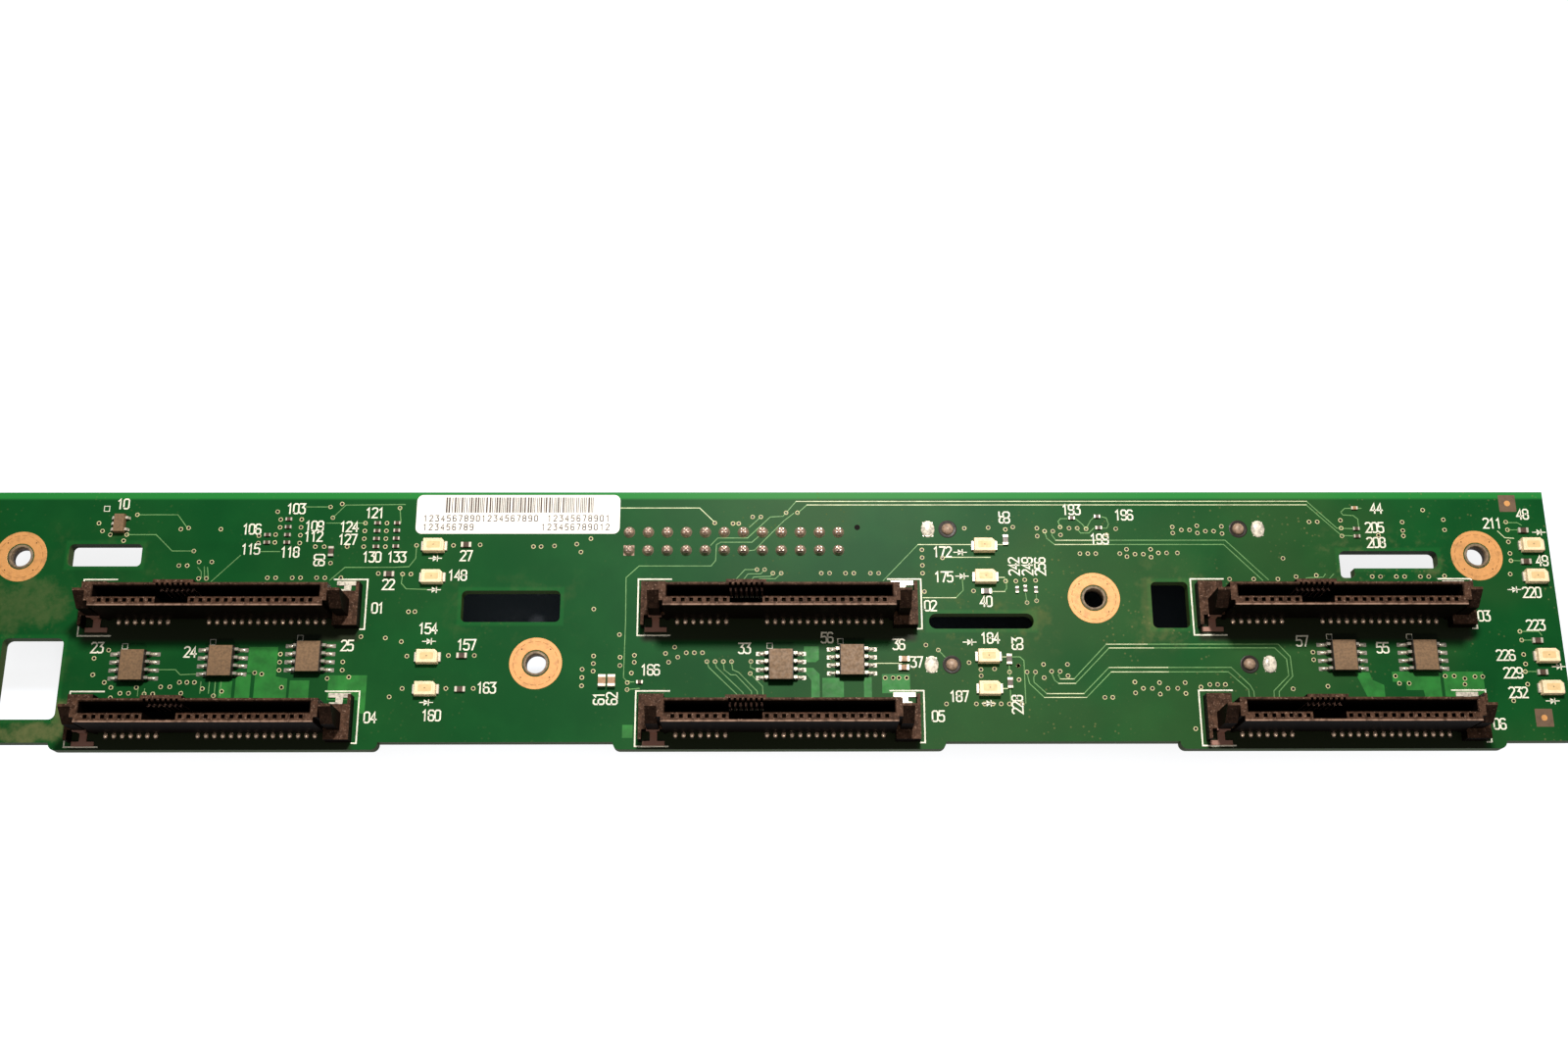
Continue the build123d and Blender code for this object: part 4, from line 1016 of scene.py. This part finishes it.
class BACKPLANE_OT_print(bpy.types.Operator):
    """White print: socket outlines, plain numbers, light symbols and first-pin marks"""
    bl_idname = "backplane.print"
    bl_label = "White print"

    def execute(self, context):
        look = context.scene.backplane_print
        thick = []
        for top, left_low, right_low in OUTLINES:
            for x in BAYS:
                thick.append([(x - 16.9, top), (x - 22.05, top), (x - 22.05, left_low),
                              (x - 17.0, left_low)])
                thick.append([(x + 17.0, top), (x + 22.18, top), (x + 22.18, right_low),
                              (x + 21.5, right_low)])
        numbers = [(str(10 + n if digits == 2 else 100 + n * 3), (x, y), False)
                   for n, (x, y, digits) in enumerate(NUMBERS)]
        numbers += [(str(60 + n if digits == 2 else 200 + n * 7), (x, y), True)
                    for n, (x, y, digits) in enumerate(UPRIGHT_NUMBERS)]
        numbers += [("0" + str(n + 1), place, False) for n, place in enumerate(SOCKET_NUMBERS)]
        digits = []
        for text, place, upright in numbers:
            digits += digit_lines(text, place, look.digit_height / MM, look.digit_pitch / MM,
                                  upright)
        symbols = []
        for x, y in DIODE_MARKS:
            symbols.append([(x - 1.0, y), (x + 1.0, y)])
            symbols.append([(x + 0.35, y - 0.45), (x + 0.35, y + 0.45)])
        half = 0.42
        corners = np.array([(-half, -half), (half, -half), (half, half), (-half, half),
                            (-half, -half)])
        first_pins = [(x - 1.75, y + 3.2) for x, y in SWITCHES] + [LOGIC_FIRST_PIN]
        squares = [corners + place for place in first_pins]
        shapes = [patch([(x - 0.35, y - 0.5), (x + 0.35, y), (x - 0.35, y + 0.5)], PRINT_HEIGHT)
                  for x, y in DIODE_MARKS]
        for lines, width, slope in ((thick, look.line_width / MM, 0.25), (symbols, 0.2, 0.25),
                                    (digits, look.digit_stroke / MM, 0.1),
                                    (squares, 0.16, 0.25)):
            shapes += [ribbon(line, width, PRINT_HEIGHT, slope) for line in lines]
        add_piece("white_print", join(shapes),
                  plastic_finish("white_ink", look.ink, 0.88, 0.9, 0.6, 0.1))
        return {"FINISHED"}


class BACKPLANE_OT_sockets(bpy.types.Operator):
    """Drive sockets, their contacts and the nails that hold them down"""
    bl_idname = "backplane.sockets"
    bl_label = "Drive sockets"

    def execute(self, context):
        look = context.scene.backplane_parts
        dress(("drive_socket", "power_header", "signal_socket"), housing_finish(look))
        dress("second_port", plastic_finish("second_contact", look.second_contact, 0.8, 0.4))
        dress("hold_downs", nail_finish(look))
        dress(("drive_contacts", "signal_contacts"),
              tin_finish("plated_contact", shade(look.gold, 0.62), 0.4))
        dress(("signal_socket_locks", "power_header_pins", "capacitor_terminals"),
              tin_finish("bright_tin", look.tin))
        dress("power_switch_leads", tin_finish("switch_leads", shade(look.tin, 0.74), 0.3))
        return {"FINISHED"}


class BACKPLANE_OT_windows(bpy.types.Operator):
    """Dark rims round the contact windows in the sockets' faces, painted shade at the windows'
    edges
    """
    bl_idname = "backplane.windows"
    bl_label = "Contact window rims"

    def execute(self, context):
        look = context.scene.backplane_parts
        inner = WINDOW_SIZE / 2
        outer = inner + look.window_rim / MM
        corner = np.array([(1, 1), (-1, 1), (-1, -1), (1, -1)])
        half, high = np.array([(outer, SINK), (outer, 0.012), (inner, 0.012), (inner, SINK),
                               (outer, SINK)]).T
        rim = stacked(with_height(corner * half[:, None, None], high), closed_ends=False)
        places = [(bay + x, row + WINDOW_Y) for row in ROWS for bay in BAYS for x in CONTACT_X]
        # Painted shade round each contact window
        add_piece("contact_window_rims", tile(rim, places, SOCKET_HEIGHT),
                  dark_finish("window_rim", look.housing))
        return {"FINISHED"}


class BACKPLANE_OT_solder(bpy.types.Operator):
    """Solder joints on the front: header pins, board locks, socket tails and chip leads"""
    bl_idname = "backplane.solder"
    bl_label = "Solder joints"

    def execute(self, context):
        look = context.scene.backplane_parts
        cone = turned([(0.0, SINK), (0.92, SINK), (0.92, 0.03), (0.84, 0.12), (0.76, 0.34),
                       (0.66, 0.6), (0.58, 0.76), (0.4, 0.84), (0.36, 1.12), (0.0, 1.16)], 16)
        pins = [(HEADER_FIRST_X + n * HEADER_PITCH, y) for y in HEADER_ROWS for n in range(12)]
        add_piece("header_solder", tile(cone, pins),
                  tin_finish("header_solder", look.pin_solder, 0.5), smooth=True)
        pad = layered(rounded(1.75, 1.75, 0.1, 2), [(0, SINK), (0.03, PAD_HEIGHT)])
        add_piece("first_pin_pad", tile(pad, [(HEADER_FIRST_X, HEADER_ROWS[1])]),
                  mask_finish("first_pad", shade(look.pin_solder, 0.8), 0.5))
        locks, pegs = [[(SIGNAL_CENTRE_X + side * span / 2, y) for y in SIGNAL_ROWS
                        for side in (-1, 1)] for span in (LOCK_SPAN, PEG_SPAN)]
        add_piece("lock_solder", tile(dome(1.08, 1.42, 0.42, 20, 6, 0.8), locks),
                  plastic_finish("lock_solder", look.tin, 0.62, 0.6, 0.3, 0.4),
                  smooth=True)
        tails = [(bay + x, row + 0.08) for row in ROWS for bay in BAYS for x in CONTACT_X]
        # Tail pads' tin darkened to a fifth: painted shade beneath the sockets
        tail_pad = layered(rounded(0.72, 1.3, 0.1, 2), [(0, SINK), (0.02, PAD_HEIGHT)])
        add_piece("tail_pads", tile(tail_pad, tails),
                  tin_finish("tail_pad", shade(look.tin, 0.2), 0.35))
        add_piece("tail_solder", tile(dome(0.36, 0.5, 0.4, 10, 5), tails),
                  tin_finish("tail_joint", look.tail_joint, 0.3), smooth=True)
        # Dark ring round each peg end: painted shade in the hole's gap
        peg_rim = turned([(0.9, SINK), (1.45, SINK), (1.45, 0.02), (1.3, 0.05), (0.9, 0.02)], 32)
        add_piece("peg_hole_rims", tile(peg_rim, pegs),
                  mask_finish("peg_hole_rim", shade(look.peg, 0.22)))
        add_piece("peg_ends", tile(dome(0.95, 0.95, 0.7, 24, 7, 0.8), pegs),
                  plastic_finish("peg_end", look.peg, 0.7, 0.5), smooth=True)
        feet = [(x + side * 3.0, y + (n - 1.5) * CONTACT_PITCH) for x, y in SWITCHES
                for n in range(4) for side in (-1, 1)]
        foot_pad = layered(rounded(1.75, 0.66, 0.08, 2), [(0, SINK), (0.02, 0.035)])
        add_piece("switch_pads", tile(foot_pad, feet),
                  tin_finish("switch_pad", shade(look.tin, 0.66), 0.35))
        add_piece("switch_solder", tile(dome(0.62, 0.3, 0.34, 12, 4), feet),
                  tin_finish("solder", look.tin, 0.35), smooth=True)
        return {"FINISHED"}


class BACKPLANE_OT_lights(bpy.types.Operator):
    """Status lights with a rim, a sunk window and a cut corner"""
    bl_idname = "backplane.lights"
    bl_label = "Status lights"

    def execute(self, context):
        look = context.scene.backplane_parts
        outline = [(-LIGHT_HALF_X, -LIGHT_HALF_Y), (LIGHT_HALF_X, -LIGHT_HALF_Y),
                   (LIGHT_HALF_X, LIGHT_HALF_Y - LIGHT_CUT),
                   (LIGHT_HALF_X - LIGHT_CUT, LIGHT_HALF_Y), (-LIGHT_HALF_X, LIGHT_HALF_Y)]
        body = layered(outline, [(0, 0), (0, LIGHT_TOP - 0.15), (0.05, LIGHT_TOP - 0.03),
                                 (0.12, LIGHT_TOP), (0.34, LIGHT_TOP),
                                 (0.4, LIGHT_WINDOW_LEVEL)])
        centres = [(bay + LIGHT_OFFSET_X, y) for y in LIGHT_ROWS for bay in BAYS]
        add_piece("status_light_bodies", tile(body, centres),
                  plastic_finish("light_moulding", look.light, 0.94, 0.8),
                  replaces=[f"status_light_{n}" for n in range(1, 13)])
        end = layered(rounded(0.42, 1.5, 0.06, 2), [(0, 0), (0, 0.4), (0.06, 0.46)])
        ends = [(x + side * (LIGHT_HALF_X + 0.19), y) for x, y in centres for side in (-1, 1)]
        add_piece("status_light_ends", tile(end, ends), tin_finish("light_end", look.tin, 0.3),
                  replaces=["status_light_terminals"])
        window = layered(rounded(2.1, 1.1, 0.2), [(0, LIGHT_WINDOW_LEVEL - 0.02),
                                                  (0, LIGHT_WINDOW_LEVEL + 0.015)])
        add_piece("status_light_windows", tile(window, centres),
                  plastic_finish("light_window", look.light_window, 0.93, 0.6))
        dot = layered(round_points(0.12, 10), [(0, LIGHT_WINDOW_LEVEL),
                                               (0, LIGHT_WINDOW_LEVEL + 0.025)])
        add_piece("status_light_dies", tile(dot, centres),
                  plastic_finish("light_die", shade(look.light_window, 0.7), 6 / 7, 0.3))
        return {"FINISHED"}


class BACKPLANE_OT_chips(bpy.types.Operator):
    """Power switches, the logic chip, resistors and capacitors"""
    bl_idname = "backplane.chips"
    bl_label = "Chips"

    def execute(self, context):
        look = context.scene.backplane_parts
        dress(tuple(f"power_switch_{n}" for n in range(1, 8)), chip_finish(look))
        for start, name, colour, factor, size, rough, relief in (
                ("logic_chip", "logic_moulding", look.chip, 0.8, 0.35, 0.55, 0.4),
                ("resistor_bodies", "resistor_glaze", look.resistor, 0.6, 0.4, 0.3, 0.2),
                ("capacitor_bodies", "capacitor_body", look.capacitor, 0.8, 0.4, 0.5, 0.2)):
            dress(start, plastic_finish(name, colour, factor, size, rough, relief))
        dress(("logic_chip_leads", "resistor_terminals"),
              tin_finish("small_terminals", shade(look.tin, 0.94), 0.4))
        return {"FINISHED"}


class BACKPLANE_OT_label(bpy.types.Operator):
    """Paper label with plain bars and plain numbers"""
    bl_idname = "backplane.label"
    bl_label = "Label"

    def execute(self, context):
        look = context.scene.backplane_print
        dress("label", plastic_finish("label_paper", look.paper, 0.96, 2.0, 0.6, 0.1))
        label_x, label_y = LABEL_LOW
        low, high = [label_y + part for part in BARS_Y]
        shapes = []
        x = label_x + BARS_X[0]
        draw = np.random.default_rng(7)
        while x < label_x + BARS_X[1]:
            width = draw.choice([0.13, 0.13, 0.26])
            shapes.append(patch([(x, low), (x + width, low), (x + width, high), (x, high)],
                                LABEL_INK_FACE, LABEL_FACE))
            x += width + draw.choice([0.14, 0.14, 0.28])
        for text, start, above in LABEL_ROWS:
            centre = (label_x + start + len(text) * 0.46, label_y + above)
            for line in digit_lines(text, centre, 0.95, 0.92):
                stroke = ribbon(line, 0.16, LABEL_INK_FACE, 0.05)
                stroke[0][:, 2] = np.maximum(stroke[0][:, 2], LABEL_FACE)
                shapes.append(stroke)
        add_piece("label_print", join(shapes),
                  plastic_finish("label_ink", look.label_ink, 1.2, 0.7))
        return {"FINISHED"}


def floor_finish(look):
    """Plain floor that is white to the camera, dimmed as painted shadow close to and under the
    board.

    White is full where the sky over the floor is open, and fades as it closes: painted shadow.
    Under the board's middle it fades away: painted shade set by place.
    """
    finish = Finish("floor_paint")
    x, y = finish.axes()[:2]
    sky = finish.node("AmbientOcclusion", {"Distance": look.shade_reach})["AO"]
    # Painted shade on the floor under the board's middle, set by place
    under = finish.times(finish.step(x, -85, -62), finish.step(x, 76, 92, 1, 0),
                         finish.step(y, -3.4, -0.6), finish.step(y, 11, 20, 1, 0))
    loss = finish.times(under, finish.step(sky, 0.4, 0.8, 1.0, 0.0))
    white = finish.times(finish.step(sky, 0.0, 0.05), finish.step(sky, 0.15, 0.7, 0.8, 1.0),
                         finish.math("SUBTRACT", 1.0, loss), finish.white_seen(look.glossy_share))
    finish.feed(finish.shader.inputs["Emission Color"], (1, 1, 1, 1))
    finish.feed(finish.shader.inputs["Emission Strength"], white)
    return finish.surface(linear(look.floor), 0.9, gloss=0.1)


def add_lamp(name, size, power, colour, place, target):
    """A round lamp that shines at a target."""
    data = bpy.data.lights.new(name, "AREA")
    data.shape = "DISK"
    data.size = size
    data.energy = power
    data.color = colour
    lamp = bpy.data.objects.new(name, data)
    lamp.location = place
    lamp.rotation_mode = "QUATERNION"
    lamp.rotation_quaternion = (Vector(target) - Vector(place)).to_track_quat("-Z", "Y")
    bpy.context.scene.collection.objects.link(lamp)


class BACKPLANE_OT_stage(bpy.types.Operator):
    """Pale floor, soft lamp above the top edge, and the camera"""
    bl_idname = "backplane.stage"
    bl_label = "Stage"

    def execute(self, context):
        look = context.scene.backplane_stage
        scene = context.scene
        half = 3.0
        mesh = bpy.data.meshes.new("floor")
        mesh.from_pydata([(-half, -half, 0), (half, -half, 0), (half, half, 0), (-half, half, 0)],
                         [], [(0, 1, 2, 3)])
        mesh.materials.append(floor_finish(look))
        floor = bpy.data.objects.new("floor", mesh)
        scene.collection.objects.link(floor)
        add_lamp("main_lamp", look.lamp_size, look.lamp_power, (1.0, 0.96, 0.9),
                 look.lamp_place, (0, 0, 0.01))
        add_lamp("low_lamp", look.low_lamp_size, look.low_lamp_power, (1.0, 0.9, 0.78),
                 look.low_lamp_place, (0, 0, 0))
        world = bpy.data.worlds.new("studio")
        world.use_nodes = True
        nodes = Nodes(world.node_tree)
        white = nodes.times(nodes.white_seen(look.glossy_share), 1 - look.fill)
        background = nodes.tree.nodes["Background"].inputs
        nodes.feed(background["Color"], (1, 1, 1, 1))
        nodes.feed(background["Strength"], nodes.math("ADD", white, look.fill))
        scene.world = world
        scene.view_settings.view_transform = "Standard"
        data = bpy.data.cameras.new("camera")
        data.lens = look.lens
        data.sensor_width = 36.0
        data.clip_start = 0.005
        camera = bpy.data.objects.new("camera", data)
        camera.location = look.camera_place
        camera.rotation_euler = look.camera_turn
        scene.collection.objects.link(camera)
        scene.camera = camera
        return {"FINISHED"}


class BACKPLANE_PT_panel(bpy.types.Panel):
    """Buttons for every group of pieces"""
    bl_idname = "BACKPLANE_PT_panel"
    bl_label = "Backplane"
    bl_space_type = "VIEW_3D"
    bl_region_type = "UI"
    bl_category = "Backplane"

    def draw(self, context):
        for operator in OPERATORS:
            self.layout.operator(operator.bl_idname)


GROUPS = {"backplane_board": BackplaneBoardLook, "backplane_print": BackplanePrintLook,
          "backplane_parts": BackplanePartLook, "backplane_stage": BackplaneStageLook}
OPERATORS = (BACKPLANE_OT_board, BACKPLANE_OT_tracks, BACKPLANE_OT_print, BACKPLANE_OT_sockets,
             BACKPLANE_OT_windows, BACKPLANE_OT_solder, BACKPLANE_OT_lights,
             BACKPLANE_OT_chips, BACKPLANE_OT_label, BACKPLANE_OT_stage)
CLASSES = (*GROUPS.values(), *OPERATORS, BACKPLANE_PT_panel)


def register():
    for item in CLASSES:
        bpy.utils.register_class(item)
    for name, group in GROUPS.items():
        setattr(bpy.types.Scene, name, bpy.props.PointerProperty(type=group))


def unregister():
    for name in GROUPS:
        delattr(bpy.types.Scene, name)
    for item in reversed(CLASSES):
        bpy.utils.unregister_class(item)


def main():
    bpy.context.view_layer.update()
    register()
    for operator in OPERATORS:
        group, name = operator.bl_idname.split(".")
        getattr(getattr(bpy.ops, group), name)()


if __name__ == "__main__":
    main()
